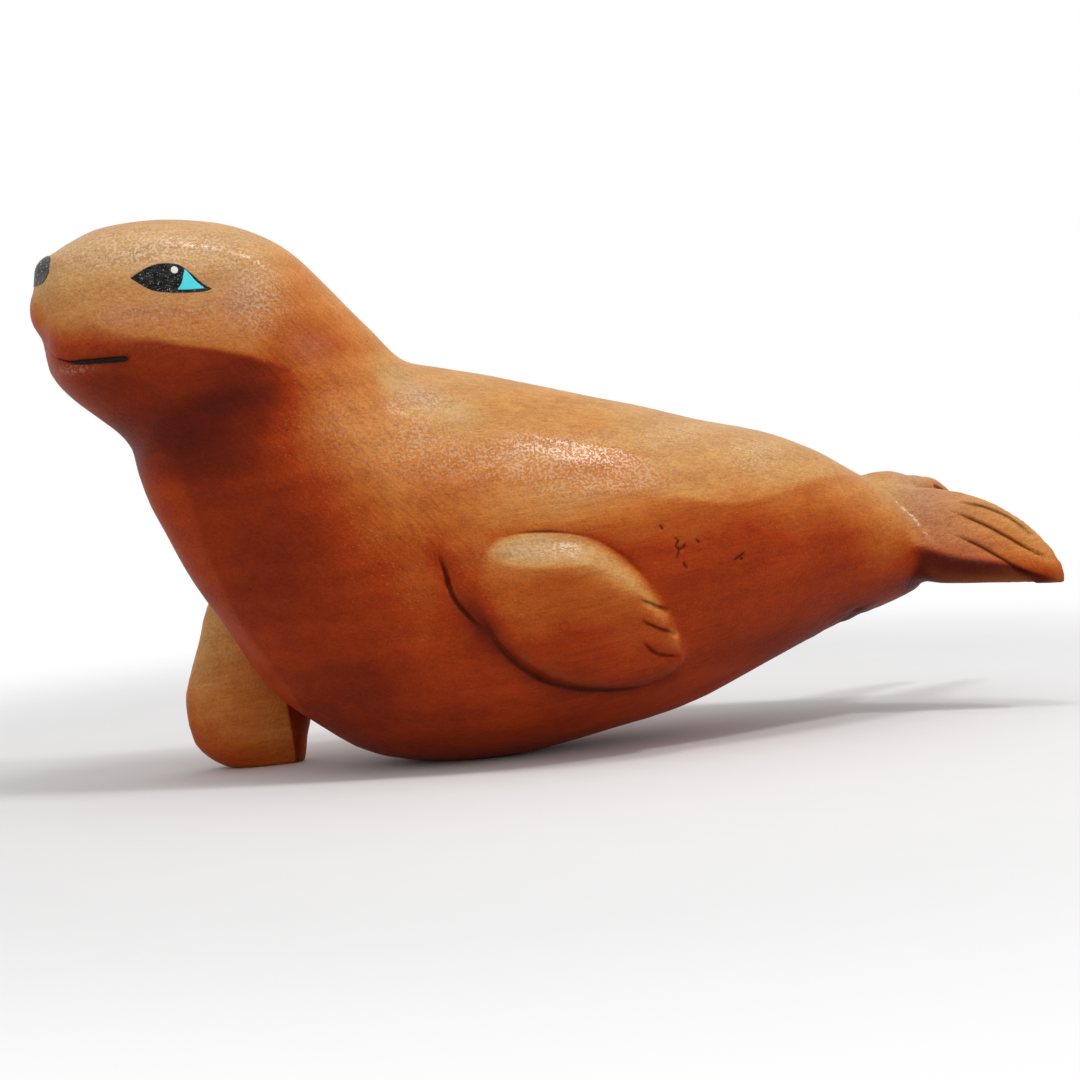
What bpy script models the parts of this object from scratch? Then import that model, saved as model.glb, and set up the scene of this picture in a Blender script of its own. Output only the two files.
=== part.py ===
"""A seal carved from a single block of wood, resting on its belly and its right fore flipper.

The nose points along -X and the right flipper is on the +Y side. Sizes are in millimetres.
"back" is measured behind the foremost point of the muzzle, "side" towards +Y and "height"
above the table. The finished carving stands over the origin, in metres.
"""

import math
from collections import namedtuple

import bmesh
import bpy
from mathutils import Matrix, Vector
from mathutils.bvhtree import BVHTree

MM = 0.001

# A section through the body lies in the plane that holds the Y axis and the line from keel to crown.
# crown and keel are (back, height); girth is how far up that line the section is widest, from 0 at
# the keel to 1 at the crown; top and under say how square the two halves are, 2 being an ellipse.
Section = namedtuple("Section", "crown keel width girth top under")

BODY = {
    "muzzle tip": Section((1.0, 168.0), (1.8, 158.0), 13, 0.50, 2.1, 2.1),
    "muzzle front": Section((2.9, 173.4), (4.4, 152.4), 22.5, 0.50, 2.2, 2.1),
    "nose": Section((5.8, 178.6), (5.0, 146.6), 32, 0.50, 2.3, 2.1),
    "lips": Section((9.8, 183.2), (7.4, 139.9), 41, 0.49, 2.4, 2.0),
    "chin": Section((16.0, 186.6), (13.2, 133.0), 49, 0.48, 2.4, 1.9),
    "jaw": Section((24.5, 190.0), (20.2, 126.8), 57, 0.48, 2.5, 1.8),
    "eyes": Section((38.0, 192.0), (26.5, 121.2), 64, 0.50, 2.6, 1.75),
    "throat": Section((54.0, 191.4), (30.5, 115.6), 68.5, 0.53, 2.6, 1.75),
    "cheeks": Section((70.0, 188.2), (32.0, 107.5), 70, 0.57, 2.6, 1.8),
    "back of head": Section((85.7, 180.3), (35.0, 97.0), 68, 0.62, 2.5, 1.9),
    "neck": Section((100.0, 166.5), (40.0, 86.0), 65, 0.64, 2.3, 2.0),
    "foot of neck": Section((113.2, 151.6), (48.0, 68.0), 72, 0.62, 2.2, 2.0),
    "nape": Section((124.0, 140.0), (58.5, 51.0), 80, 0.60, 2.1, 2.0),
    "breast": Section((138.0, 135.9), (70.5, 31.5), 89, 0.58, 2.1, 2.0),
    "shoulders": Section((155.0, 132.0), (86.0, 17.0), 98, 0.57, 2.2, 2.0),
    "ribs": Section((172.0, 127.4), (108.0, 3.6), 105, 0.56, 2.2, 2.1),
    "belly": Section((190.0, 122.8), (143.0, -1.2), 108, 0.56, 2.2, 2.1),
    "flank": Section((210.0, 117.3), (177.0, 2.8), 105, 0.56, 2.2, 2.1),
    "loin": Section((232.0, 110.6), (212.0, 9.3), 96, 0.56, 2.2, 2.1),
    "hips": Section((254.0, 105.0), (243.0, 20.6), 83, 0.55, 2.2, 2.1),
    "rump": Section((272.0, 97.4), (270.0, 31.4), 67, 0.54, 2.2, 2.1),
    "tail": Section((285.0, 89.4), (292.0, 37.8), 53, 0.52, 2.2, 2.1),
    "cuff": Section((292.0, 84.8), (308.5, 43.6), 43, 0.50, 2.2, 2.1),
    "inside cuff": Section((295.0, 81.5), (311.0, 48.0), 34, 0.50, 2.2, 2.1),
}
MUZZLE_TIP = (0.0, 163.0)
RINGS_PER_SECTION = 3
POINTS_ROUND = 38
SKIN_RINGS = 8
SKIN_POINTS = 160

# A limb runs along a row of joints: its centre as (back, side, height), its breadth and its thickness.
Joint = namedtuple("Joint", "back side height breadth thickness")

PLANTED_FLIPPER = [
    Joint(129, 33, 84, 20, 12),
    Joint(117, 39.5, 79, 38, 19),
    Joint(101, 42.5, 71, 52, 25),
    Joint(87, 41, 60, 57, 26),
    Joint(77.8, 38, 46, 49.5, 24),
    Joint(71.8, 35.5, 33, 47, 21.5),
    Joint(68.8, 34.5, 24, 45.5, 20),
    Joint(68.3, 34, 13, 42, 19),
    Joint(69, 34, 7, 37.5, 17.5),
    Joint(71.5, 34, 2.5, 32, 14.5),
    Joint(74, 34, -0.2, 25, 11),
    Joint(75, 34, -1.2, 16, 7),
]
PLANTED_BROADSIDE = (1.0, 0.0, 0.0)

HIND_FLIPPER = [
    Joint(284, 2, 65.5, 18, 12),
    Joint(292, 3.5, 65.5, 31, 19),
    Joint(301, 6.5, 64.6, 34.6, 22),
    Joint(312, 13.5, 63.4, 36.6, 19),
    Joint(323, 22.5, 62.2, 34.4, 14),
    Joint(333, 29.5, 59.4, 29.6, 10.5),
    Joint(341, 35, 55.5, 22.4, 8),
    Joint(346.5, 39, 51.2, 14, 5.5),
    Joint(349.3, 41, 47.4, 6, 3),
]
HIND_LEAN = 0.45
RIGHT_HIND_LIFT = 5.5
RIGHT_HIND_SHIFT = 0.6

LIMB_POINTS_ROUND = 20
LIMB_STEPS = 2
LIMB_SQUARENESS = 2.5

# The left fore flipper lies folded back along the flank: a leaf that stands proud of the body. Each row
# crosses it from its lower edge to its upper edge, both (back, height), and says how proud it stands.
Leaf = namedtuple("Leaf", "lower upper proud")

FOLDED_FLIPPER = [
    Leaf((126, 67), (128, 74.5), -2.0),
    Leaf((131.5, 60.5), (135.5, 77), -0.5),
    Leaf((135.2, 52), (144, 78), 1.4),
    Leaf((140.5, 42.8), (153, 78.2), 3.2),
    Leaf((148, 35.2), (163, 77.4), 4.5),
    Leaf((157.5, 29), (173, 74.8), 5.2),
    Leaf((168.5, 25.3), (182, 69.3), 5.4),
    Leaf((180, 23.4), (190, 61.3), 5.3),
    Leaf((190, 23.2), (196.5, 52.5), 5.0),
    Leaf((198.5, 25), (201.7, 43), 4.6),
    Leaf((204, 28.2), (205, 35.5), 4.0),
    Leaf((205.8, 30.5), (206, 32.5), 3.6),
]
LEAF_STEPS = 2
# How much of its height the leaf keeps from its lower edge, at 0, to its upper edge, at 1.
LEAF_PROFILE = [
    (0, -0.2),
    (0.03, 0.75),
    (0.1, 0.95),
    (0.25, 1),
    (0.45, 1),
    (0.66, 1),
    (0.82, 0.94),
    (0.91, 0.5),
    (1, -0.15),
]
LEAF_SINK = 9.0

# The mouth runs round an upright axis. It is a fine crease in front, and opens between two shares of
# the way from the front to its corners, which end blunt.
FACE_AXIS_BACK = 32.0
MOUTH_FRONT_HEIGHT = 152.4
MOUTH_SIDE_HEIGHT = 146.0
MOUTH_REACH = math.radians(82)
MOUTH_LEVEL_TURN = math.radians(45)
MOUTH_PLACES = 44
MOUTH_CREASE = 0.6
MOUTH_GOUGE = 1.35
MOUTH_CORNER = 1.0
MOUTH_OPENS = 0.34
MOUTH_OPEN = 0.6

# The nose pad sits this many sections back along the line of the crown, sunk a little under it, and is
# turned up from the slope there.
NOSE_AT = 1.77
NOSE_SINK = 1.6
NOSE_SIZE = (7.0, 15.5, 12.0)
NOSE_TURN = math.radians(8)
SLOPE_STEP = 0.02

# Carved lines on the folded flipper and beside it, as (back, height) places seen from the left.
FINGER_GOUGE = 1.5
FINGER_LINES = [
    [(188.5, 54.5), (194, 52), (199.5, 49.6)],
    [(189, 47), (196, 43.5), (202.5, 41)],
    [(189.5, 39.5), (195.5, 34.5), (204.5, 33)],
]
FOLD_GOUGE = 1.4
SHOULDER_FOLD = [(121.5, 77), (124, 69), (126, 60.5), (130.5, 54), (135, 48.5)]
UNDERCUT_GOUGE = 1.7
FLIPPER_UNDERCUT = [
    (133, 58),
    (138.8, 44.8),
    (147.2, 35.4),
    (157, 28.8),
    (169, 24.8),
    (182, 22.9),
    (193, 23),
    (202, 25.5),
]
FLIPPER_TOP_GOUGE = 0.9
FLIPPER_TOP = [(141, 78.6), (151, 79.8), (163, 79), (174, 76), (184, 69.5), (191.5, 61.5)]

TOE_GOUGE = 1.15
TOE_LINES = [
    [(313.5, 64.5), (321, 60.5), (327, 56), (334, 50.5), (341, 47)],
    [(314.5, 72.5), (320, 70), (326, 66.5), (331.5, 62.5), (338, 57.5), (344, 54)],
    [(318, 75), (325, 73.7), (331, 71), (336, 67.5), (341.5, 61)],
]
GOUGE_SIDES = 10
LINE_STEPS = 3
SHARP_ABOVE = math.radians(38)
GOUGE_TAPER = 0.3
GOUGE_POINT = 0.3

# The block under the table's top that is taken away: its sizes back, side and height, and where it starts.
UNDER_TABLE = (600.0, 300.0, 40.0)
UNDER_TABLE_START = -120.0

WOOD_COLOUR = (0.46, 0.17, 0.055, 1.0)
WOOD_ROUGHNESS = 0.38


def power(value, exponent):
    """A power that keeps the sign of what it is given."""
    return math.copysign(abs(value) ** exponent, value)


def flat(item):
    """The numbers of a tuple that may hold tuples."""
    numbers = []
    for value in item:
        numbers.extend(value if isinstance(value, tuple) else (value,))
    return numbers


def along(rows, t):
    """The Catmull-Rom curve through rows of numbers, at t from 0 to the last row's index."""
    last = len(rows) - 1
    start = min(int(t), last - 1)
    f = t - start
    a, b, c, d = (flat(rows[min(max(i, 0), last)]) for i in range(start - 1, start + 3))
    return [
        0.5 * (2 * q + (r - p) * f + (2 * p - 5 * q + 4 * r - s) * f**2 + (3 * q - p - 3 * r + s) * f**3)
        for p, q, r, s in zip(a, b, c, d)
    ]


def place(back, side, height):
    """A point of the carving, in metres."""
    return Vector((back, side, height)) * MM


def mesh_object(name, bm, collection):
    """An object from a bmesh, with its faces turned outwards."""
    bmesh.ops.recalc_face_normals(bm, faces=bm.faces)
    mesh = bpy.data.meshes.new(name)
    bm.to_mesh(mesh)
    bm.free()
    made = bpy.data.objects.new(name, mesh)
    collection.objects.link(made)
    return made


def loft(name, rings, start, end, collection):
    """A closed skin over rings of points, with a pole at each end."""
    bm = bmesh.new()
    loops = [[bm.verts.new(p) for p in ring] for ring in rings]
    count = len(loops[0])
    for near, far in zip(loops, loops[1:]):
        for i in range(count):
            j = (i + 1) % count
            bm.faces.new((near[i], near[j], far[j], far[i]))
    for loop, tip in ((loops[0], bm.verts.new(start)), (loops[-1], bm.verts.new(end))):
        for i in range(count):
            bm.faces.new((loop[i], loop[(i + 1) % count], tip))
    return mesh_object(name, bm, collection)


def body_ring(t, count=POINTS_ROUND):
    """The outline of the body at t sections from the front."""
    crown_back, crown_height, keel_back, keel_height, width, girth, top, under = along(list(BODY.values()), t)
    ring = []
    for i in range(count):
        turn = 2 * math.pi * i / count
        up, out = math.cos(turn), math.sin(turn)
        square = top if up > 0 else under
        rise = girth + (1 - girth if up > 0 else girth) * power(up, 2 / square)
        side = width / 2 * power(out, 2 / square)
        back = keel_back + (crown_back - keel_back) * rise
        height = keel_height + (crown_height - keel_height) * rise
        ring.append(place(back, side, height))
    return ring


def build_body(collection):
    steps = (len(BODY) - 1) * RINGS_PER_SECTION
    rings = [body_ring(i / RINGS_PER_SECTION) for i in range(steps + 1)]
    muzzle = place(MUZZLE_TIP[0], 0, MUZZLE_TIP[1])
    rump = sum(rings[-1], Vector()) / POINTS_ROUND
    return loft("seal", rings, muzzle, rump, collection)


def limb_frame(joints, t, broadside):
    """Centre, breadth direction and thickness direction of a limb at t, with its breadth and thickness."""
    back, side, height, breadth, thickness = along(joints, t)
    ahead = along(joints, min(t + 0.05, len(joints) - 1))
    behind = along(joints, max(t - 0.05, 0))
    axis = Vector(ahead[:3]) - Vector(behind[:3])
    broad = Vector(broadside).normalized()
    return place(back, side, height), broad, axis.cross(broad).normalized(), breadth, thickness


def build_limb(name, joints, broadside, collection):
    """A flipper that stands free: squared ovals swept along its joints."""
    rings = []
    steps = (len(joints) - 1) * LIMB_STEPS
    for step in range(steps + 1):
        centre, broad, thin, breadth, thickness = limb_frame(joints, step / LIMB_STEPS, broadside)
        ring = []
        for i in range(LIMB_POINTS_ROUND):
            turn = 2 * math.pi * i / LIMB_POINTS_ROUND
            across = breadth / 2 * power(math.cos(turn), 2 / LIMB_SQUARENESS)
            out = thickness / 2 * power(math.sin(turn), 2 / LIMB_SQUARENESS)
            ring.append(centre + (broad * across + thin * out) * MM)
        rings.append(ring)
    start = sum(rings[0], Vector()) / LIMB_POINTS_ROUND
    end = sum(rings[-1], Vector()) / LIMB_POINTS_ROUND
    return loft(name, rings, start, end, collection)


def hind_joints(sign, shift, lift):
    """The hind flipper's joints on the side that sign gives, 1 for the right and -1 for the left."""
    return [j._replace(back=j.back + shift, side=j.side * sign, height=j.height + lift) for j in HIND_FLIPPER]


def fine_skin():
    """A tree to cast rays at the body's true form, much finer than its mesh."""
    steps = (len(BODY) - 1) * SKIN_RINGS
    points = [p for i in range(steps + 1) for p in body_ring(i / SKIN_RINGS, SKIN_POINTS)]
    faces = []
    for i in range(steps):
        for k in range(SKIN_POINTS):
            j = (k + 1) % SKIN_POINTS
            near, far = i * SKIN_POINTS, (i + 1) * SKIN_POINTS
            faces.append((near + k, near + j, far + j, far + k))
    return BVHTree.FromPolygons(points, faces)


def surface(obj):
    """A tree to cast rays at the object as its modifiers leave it."""
    return BVHTree.FromObject(obj, bpy.context.evaluated_depsgraph_get())


def on_side(tree, back, height, sign=-1):
    """The outermost point of the carving at this place, seen from one side."""
    far = 300
    hit = tree.ray_cast(place(back, sign * far, height), Vector((0, -sign, 0)))[0]
    return hit if hit else place(back, 0, height)


def build_leaf(tree, collection):
    """The folded flipper: a leaf laid on the flank, steep along its lower edge and bevelled on top."""
    steps = (len(FOLDED_FLIPPER) - 1) * LEAF_STEPS
    last = len(LEAF_PROFILE) - 1
    bm = bmesh.new()
    outer, inner = [], []
    for step in range(steps + 1):
        low_back, low_height, high_back, high_height, proud = along(FOLDED_FLIPPER, step / LEAF_STEPS)
        outer_row, inner_row = [], []
        for share, keep in LEAF_PROFILE:
            back = low_back + (high_back - low_back) * share
            height = low_height + (high_height - low_height) * share
            seat = on_side(tree, back, height)
            lift = proud * keep if proud > 0 else proud
            outer_row.append(bm.verts.new(seat + place(0, -lift, 0)))
            inner_row.append(bm.verts.new(seat + place(0, LEAF_SINK, 0)))
        outer.append(outer_row)
        inner.append(inner_row)
    for rows in (outer, inner):
        for one, two in zip(rows, rows[1:]):
            for k in range(last):
                bm.faces.new((one[k], one[k + 1], two[k + 1], two[k]))
    rim = [(i, 0) for i in range(steps + 1)] + [(steps, k) for k in range(1, last + 1)]
    rim += [(i, last) for i in reversed(range(steps))] + [(0, k) for k in reversed(range(1, last))]
    for (i, k), (m, n) in zip(rim, rim[1:] + rim[:1]):
        bm.faces.new((outer[i][k], outer[m][n], inner[m][n], inner[i][k]))
    return mesh_object("folded_flipper", bm, collection)


def build_nose(collection):
    """The nose: a low rounded pad on the front of the muzzle."""
    bm = bmesh.new()
    length, width, height = (size * MM for size in NOSE_SIZE)
    sections = list(BODY.values())
    back, crown = along(sections, NOSE_AT)[:2]
    next_back, next_crown = along(sections, NOSE_AT + SLOPE_STEP)[:2]
    slope = Vector((next_back - back, 0, next_crown - crown)).normalized()
    inward = Vector((slope.z, 0, -slope.x))
    seat = Matrix.Translation(place(back, 0, crown) + inward * NOSE_SINK * MM)
    turn = Matrix.Rotation(math.atan2(slope.x, slope.z) - NOSE_TURN, 4, "Y")
    bmesh.ops.create_uvsphere(bm, u_segments=20, v_segments=12, radius=0.5)
    bmesh.ops.transform(bm, matrix=seat @ turn @ Matrix.Diagonal((length, width, height, 1)), verts=bm.verts)
    return mesh_object("nose", bm, collection)


def thin_ends(radius, count, open_end=False):
    """The radius of a carved line at each of its places: it thins towards its ends."""
    radii = []
    for i in range(count):
        share = i / (count - 1)
        room = share if open_end else min(share, 1 - share)
        radii.append(radius * (GOUGE_POINT + (1 - GOUGE_POINT) * min(1.0, room / GOUGE_TAPER)))
    return radii


def mouth_radii():
    """The radius of the mouth at each of its places, from corner to corner."""
    radii = []
    for i in range(MOUTH_PLACES + 1):
        out = abs(2 * i / MOUTH_PLACES - 1)
        opened = min(1.0, max(0.0, (out - MOUTH_OPENS) / (MOUTH_OPEN - MOUTH_OPENS)))
        radii.append(MOUTH_CREASE + (MOUTH_GOUGE - MOUTH_CREASE) * opened)
    radii[0] = radii[-1] = MOUTH_CORNER
    return radii


def gouge(name, points, radii, collection):
    """A round-bottomed carved line to be cut away: a tube through the points, each with its radius."""
    bm = bmesh.new()
    last = len(points) - 1
    loops = []
    side = (points[1] - points[0]).orthogonal()
    for i, point in enumerate(points):
        axis = (points[min(i + 1, last)] - points[max(i - 1, 0)]).normalized()
        side = (side - axis * side.dot(axis)).normalized()
        reach = radii[i] * MM
        turns = [2 * math.pi * k / GOUGE_SIDES for k in range(GOUGE_SIDES)]
        rim = [point + (side * math.cos(turn) + axis.cross(side) * math.sin(turn)) * reach for turn in turns]
        loops.append([bm.verts.new(place_on_rim) for place_on_rim in rim])
    for near, far in zip(loops, loops[1:]):
        for k in range(GOUGE_SIDES):
            j = (k + 1) % GOUGE_SIDES
            bm.faces.new((near[k], near[j], far[j], far[k]))
    for loop in (loops[0], loops[-1]):
        bm.faces.new(loop)
    return mesh_object(name, bm, collection)


def mouth_line(tree):
    """Points round the muzzle, from one corner of the mouth over the front to the other."""
    points = []
    for i in range(MOUTH_PLACES + 1):
        turn = MOUTH_REACH * (2 * i / MOUTH_PLACES - 1)
        fall = min(1.0, abs(turn) / MOUTH_LEVEL_TURN)
        height = MOUTH_FRONT_HEIGHT + (MOUTH_SIDE_HEIGHT - MOUTH_FRONT_HEIGHT) * fall**2 * (3 - 2 * fall)
        inward = Vector((math.cos(turn), -math.sin(turn), 0))
        start = place(FACE_AXIS_BACK, 0, height) - inward * 0.2
        points.append(tree.ray_cast(start, inward)[0])
    return points


def line_on_side(tree, outline, sign=-1, shift=0.0, lift=0.0):
    """Points on one side of the carving, along a smooth line of (back, height) places."""
    count = LINE_STEPS * (len(outline) - 1)
    places = [along(outline, i / LINE_STEPS) for i in range(count + 1)]
    return [on_side(tree, back + shift, height + lift, sign) for back, height in places]


def combine(body, tool, operation):
    """Joins a tool to the carving or cuts it away, and keeps the tool as a wire guide."""
    modifier = body.modifiers.new(tool.name, "BOOLEAN")
    modifier.operation = operation
    modifier.solver = "EXACT"
    modifier.object = tool
    tool.hide_render = True
    tool.display_type = "WIRE"


def table_cutter(collection):
    """Everything under the table's top, which leaves a flat for the carving to rest on."""
    bm = bmesh.new()
    bmesh.ops.create_cube(bm, size=1.0)
    length, width, depth = UNDER_TABLE
    centre = place(UNDER_TABLE_START + length / 2, 0, -depth / 2)
    under = Matrix.Translation(centre) @ Matrix.Diagonal((*place(length, width, depth), 1))
    bmesh.ops.transform(bm, matrix=under, verts=bm.verts)
    return mesh_object("table_cutter", bm, collection)


def shade_by_angle(obj):
    """Shades the faces smooth and keeps the edges that turn more than an angle crisp."""
    group = bpy.data.node_groups.new("shade by angle", "GeometryNodeTree")
    for direction in ("INPUT", "OUTPUT"):
        group.interface.new_socket("Geometry", in_out=direction, socket_type="NodeSocketGeometry")
    nodes, link = group.nodes, group.links.new
    before, after = nodes.new("NodeGroupInput"), nodes.new("NodeGroupOutput")
    faces = nodes.new("GeometryNodeSetShadeSmooth")
    edges = nodes.new("GeometryNodeSetShadeSmooth")
    edges.domain = "EDGE"
    edges.inputs["Shade Smooth"].default_value = False
    turn = nodes.new("GeometryNodeInputMeshEdgeAngle")
    crisp = nodes.new("FunctionNodeCompare")
    crisp.operation = "GREATER_THAN"
    crisp.inputs["B"].default_value = SHARP_ABOVE
    link(before.outputs["Geometry"], faces.inputs["Geometry"])
    link(faces.outputs["Geometry"], edges.inputs["Geometry"])
    link(turn.outputs["Unsigned Angle"], crisp.inputs["A"])
    link(crisp.outputs["Result"], edges.inputs["Selection"])
    link(edges.outputs["Geometry"], after.inputs["Geometry"])
    obj.modifiers.new("shade by angle", "NODES").node_group = group


def wood():
    material = bpy.data.materials.new("stained wood")
    material.use_nodes = True
    shader = material.node_tree.nodes["Principled BSDF"]
    shader.inputs["Base Color"].default_value = WOOD_COLOUR
    shader.inputs["Roughness"].default_value = WOOD_ROUGHNESS
    shader.inputs["Metallic"].default_value = 0.0
    return material


def stand_on_origin(objects, carving):
    """Hangs everything on one empty, moved so that the carving's box stands over the origin."""
    shape = carving.evaluated_get(bpy.context.evaluated_depsgraph_get())
    corners = [Vector(c) for c in shape.bound_box]
    low = Vector([min(c[i] for c in corners) for i in range(3)])
    high = Vector([max(c[i] for c in corners) for i in range(3)])
    stand = bpy.data.objects.new("stand", None)
    bpy.context.scene.collection.objects.link(stand)
    for obj in objects:
        obj.parent = stand
    stand.location = (-(low.x + high.x) / 2, -(low.y + high.y) / 2, -low.z)


def main():
    for obj in list(bpy.data.objects):
        bpy.data.objects.remove(obj)
    seal = bpy.data.collections.new("seal figurine")
    tools = bpy.data.collections.new("tools")
    for collection in (seal, tools):
        bpy.context.scene.collection.children.link(collection)

    body = build_body(seal)
    left, right = (0, HIND_LEAN, 1), (0, -HIND_LEAN, 1)
    left_hind = build_limb("left_hind_flipper", hind_joints(-1, 0, 0), left, tools)
    right_joints = hind_joints(1, RIGHT_HIND_SHIFT, RIGHT_HIND_LIFT)
    right_hind = build_limb("right_hind_flipper", right_joints, right, tools)
    planted = build_limb("planted_flipper", PLANTED_FLIPPER, PLANTED_BROADSIDE, tools)
    skin = fine_skin()
    leaf = build_leaf(skin, tools)
    nose = build_nose(tools)

    for part in (leaf, planted, left_hind, right_hind, nose):
        combine(body, part, "UNION")
    carved = surface(body)
    cuts = [gouge("mouth", mouth_line(skin), mouth_radii(), tools)]
    for name, outline, radius in (
        ("shoulder_fold", SHOULDER_FOLD, FOLD_GOUGE),
        ("flipper_undercut", FLIPPER_UNDERCUT, UNDERCUT_GOUGE),
        ("flipper_top", FLIPPER_TOP, FLIPPER_TOP_GOUGE),
    ):
        line = line_on_side(skin, outline)
        cuts.append(gouge(name, line, thin_ends(radius, len(line)), tools))
    for i, outline in enumerate(FINGER_LINES):
        line = line_on_side(carved, outline)
        cuts.append(gouge(f"finger_{i}", line, thin_ends(FINGER_GOUGE, len(line), open_end=True), tools))
    for name, sign, shift, lift in (("left", -1, 0, 0), ("right", 1, RIGHT_HIND_SHIFT, RIGHT_HIND_LIFT)):
        for i, outline in enumerate(TOE_LINES):
            line = line_on_side(carved, outline, sign, shift, lift)
            cuts.append(gouge(f"toe_{name}_{i}", line, thin_ends(TOE_GOUGE, len(line)), tools))
    for cut in [*cuts, table_cutter(tools)]:
        combine(body, cut, "DIFFERENCE")

    body.data.materials.append(wood())
    shade_by_angle(body)
    stand_on_origin([*seal.objects, *tools.objects], body)


main()
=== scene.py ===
"""The looks of a carved and varnished wooden seal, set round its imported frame.

Places on the seal are written as (back, side, height) in millimetres: back from the tip of
the muzzle, side from the line down the middle, and height from the table.
"""

import math

import bmesh
import bpy
import numpy as np
from bpy.props import FloatProperty, FloatVectorProperty, IntProperty, PointerProperty
from mathutils import Matrix, Vector, noise
from mathutils.bvhtree import BVHTree


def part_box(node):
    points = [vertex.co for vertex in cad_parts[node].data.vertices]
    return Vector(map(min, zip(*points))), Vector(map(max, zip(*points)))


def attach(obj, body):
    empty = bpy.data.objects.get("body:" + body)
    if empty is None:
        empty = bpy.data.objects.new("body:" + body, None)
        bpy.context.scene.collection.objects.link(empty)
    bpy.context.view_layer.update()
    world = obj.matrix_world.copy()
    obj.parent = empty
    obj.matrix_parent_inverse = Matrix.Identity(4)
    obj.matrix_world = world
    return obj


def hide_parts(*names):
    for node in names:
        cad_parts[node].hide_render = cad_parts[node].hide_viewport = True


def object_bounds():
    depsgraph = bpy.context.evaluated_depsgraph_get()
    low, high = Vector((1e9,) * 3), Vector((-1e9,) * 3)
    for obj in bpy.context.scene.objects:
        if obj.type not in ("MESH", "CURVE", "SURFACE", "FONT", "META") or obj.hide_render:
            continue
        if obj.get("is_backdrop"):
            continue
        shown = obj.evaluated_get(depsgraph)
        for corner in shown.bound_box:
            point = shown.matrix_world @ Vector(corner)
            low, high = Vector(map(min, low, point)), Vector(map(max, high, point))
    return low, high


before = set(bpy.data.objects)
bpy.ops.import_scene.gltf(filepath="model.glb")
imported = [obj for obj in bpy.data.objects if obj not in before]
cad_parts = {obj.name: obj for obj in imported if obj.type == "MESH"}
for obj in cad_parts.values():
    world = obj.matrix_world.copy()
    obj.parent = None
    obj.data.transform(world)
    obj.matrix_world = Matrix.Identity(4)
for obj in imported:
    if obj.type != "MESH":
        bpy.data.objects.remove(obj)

bl_info = {
    "name": "Carved seal",
    "version": (1, 0, 0),
    "blender": (4, 5, 0),
    "location": "3D View > Sidebar > Seal",
    "description": "Carves, stains and paints a wooden seal on its packed solid",
    "category": "Object",
}

CAD_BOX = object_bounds()
MM = 0.001
NODE = "seal"
BODY = "root"
CARVING = "seal_carving"
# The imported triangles' corners are merged within this, in metres.
SEAM = 0.002 * MM

# Lines on the sides, as (back, height), each as it is seen from the side.
CHEEK_SHELF = ((2, 165), (3.4, 161), (5.5, 158), (12, 156.5), (18.5, 156.5), (27, 152.6),
               (38.5, 150.4), (46, 148.4), (55, 146.7), (66, 143.8), (77.5, 139.8))
BROW_EDGE = ((24, 182), (29.5, 183.3), (37, 183.6), (49, 181.4), (56.5, 180.2), (67, 177.3),
             (73.5, 174), (78.5, 168), (81.3, 160), (82, 152), (80.7, 147), (78, 140.5))
CHEST_EDGE = ((44, 108), (46.5, 98), (51, 79), (60, 57), (73, 35))
NECK_RIDGE = ((84, 140), (88, 131), (95, 120), (103, 107), (112, 90))
NECK_HOLLOW = ((104, 145), (110, 139), (118.5, 131), (127, 124), (138, 120))
BACK_RIDGE = ((136, 116), (150, 113), (165, 109.5), (185, 104.5), (200, 99.5), (222, 92))
RUMP_EDGE = ((190, 88), (201, 86.6), (214, 85), (229, 82.5), (250, 85.5), (269, 88.5), (286, 86))
FOOT_EDGE = ((79.5, 24), (80.5, 15), (81.5, 6), (82, 0))
FINGERS = (
    ((186.5, 55.3), (193, 52.4), (200, 49.4)),
    ((187, 48), (195, 43.9), (203, 40.8)),
    ((188, 41), (195, 34.9), (205, 32.9)),
)
SHOULDER_FOLD = ((121.5, 77), (124, 69), (126, 60.5), (130.5, 54), (135, 48.5))
UNDERCUT = ((133, 58), (138.8, 44.8), (147.2, 35.4), (157, 28.8), (169, 24.8), (182, 22.9),
            (193, 23), (202, 25.5))
FLIPPER_TOP = ((141, 78.6), (151, 79.8), (163, 79), (174, 76), (184, 69.5), (191.5, 61.5))
BEVEL_FOOT = ((141, 71.5), (144, 69.6), (151, 68.4), (158.5, 67.9), (165.5, 67.8), (171.5, 67.1),
              (176.5, 65.4), (181.5, 62.8), (186, 58.5))
PLANTED_AXIS = ((129, 84), (101, 71), (87, 60), (77.8, 46), (71.8, 33), (68.5, 20), (70, 3))
# Shares of the axis, and half the breadth of the planted flipper at each.
PLANTED_REACH = ((0, 0.28, 0.44, 0.59, 0.72, 0.85, 1), (9, 24, 27, 24, 23, 21.5, 15))
LEAF_RIM = (*FLIPPER_TOP, (198, 53.5), (204, 43), (205.5, 34), (202, 25.5), (193, 23),
            (182, 22.9), (169, 24.8), (157, 28.8), (147.2, 35.4), (138.8, 44.8), (133, 58),
            (135, 71), (141, 78.6))
TOES = (
    ((313.5, 64.5), (321, 60.5), (327, 56), (334, 50.5), (341, 47)),
    ((314.5, 72.5), (320, 70), (326, 66.5), (331.5, 62.5), (338, 57.5), (344, 54)),
    ((318, 75), (325, 73.7), (331, 71), (336, 67.5), (341.5, 61)),
)
FAR_TOES_MOVED = (0.6, 5.5)
HIND_FACET = ((302, 61.5), (308.5, 59), (313.5, 56.8), (318.5, 55.5), (323.5, 54.6), (330.5, 53),
              (337, 50.2), (343.5, 47))
CUFF = ((295.5, 83), (298, 80), (299.8, 75.3), (303.3, 70.9), (306.5, 64.4), (308.8, 60.4))

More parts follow.
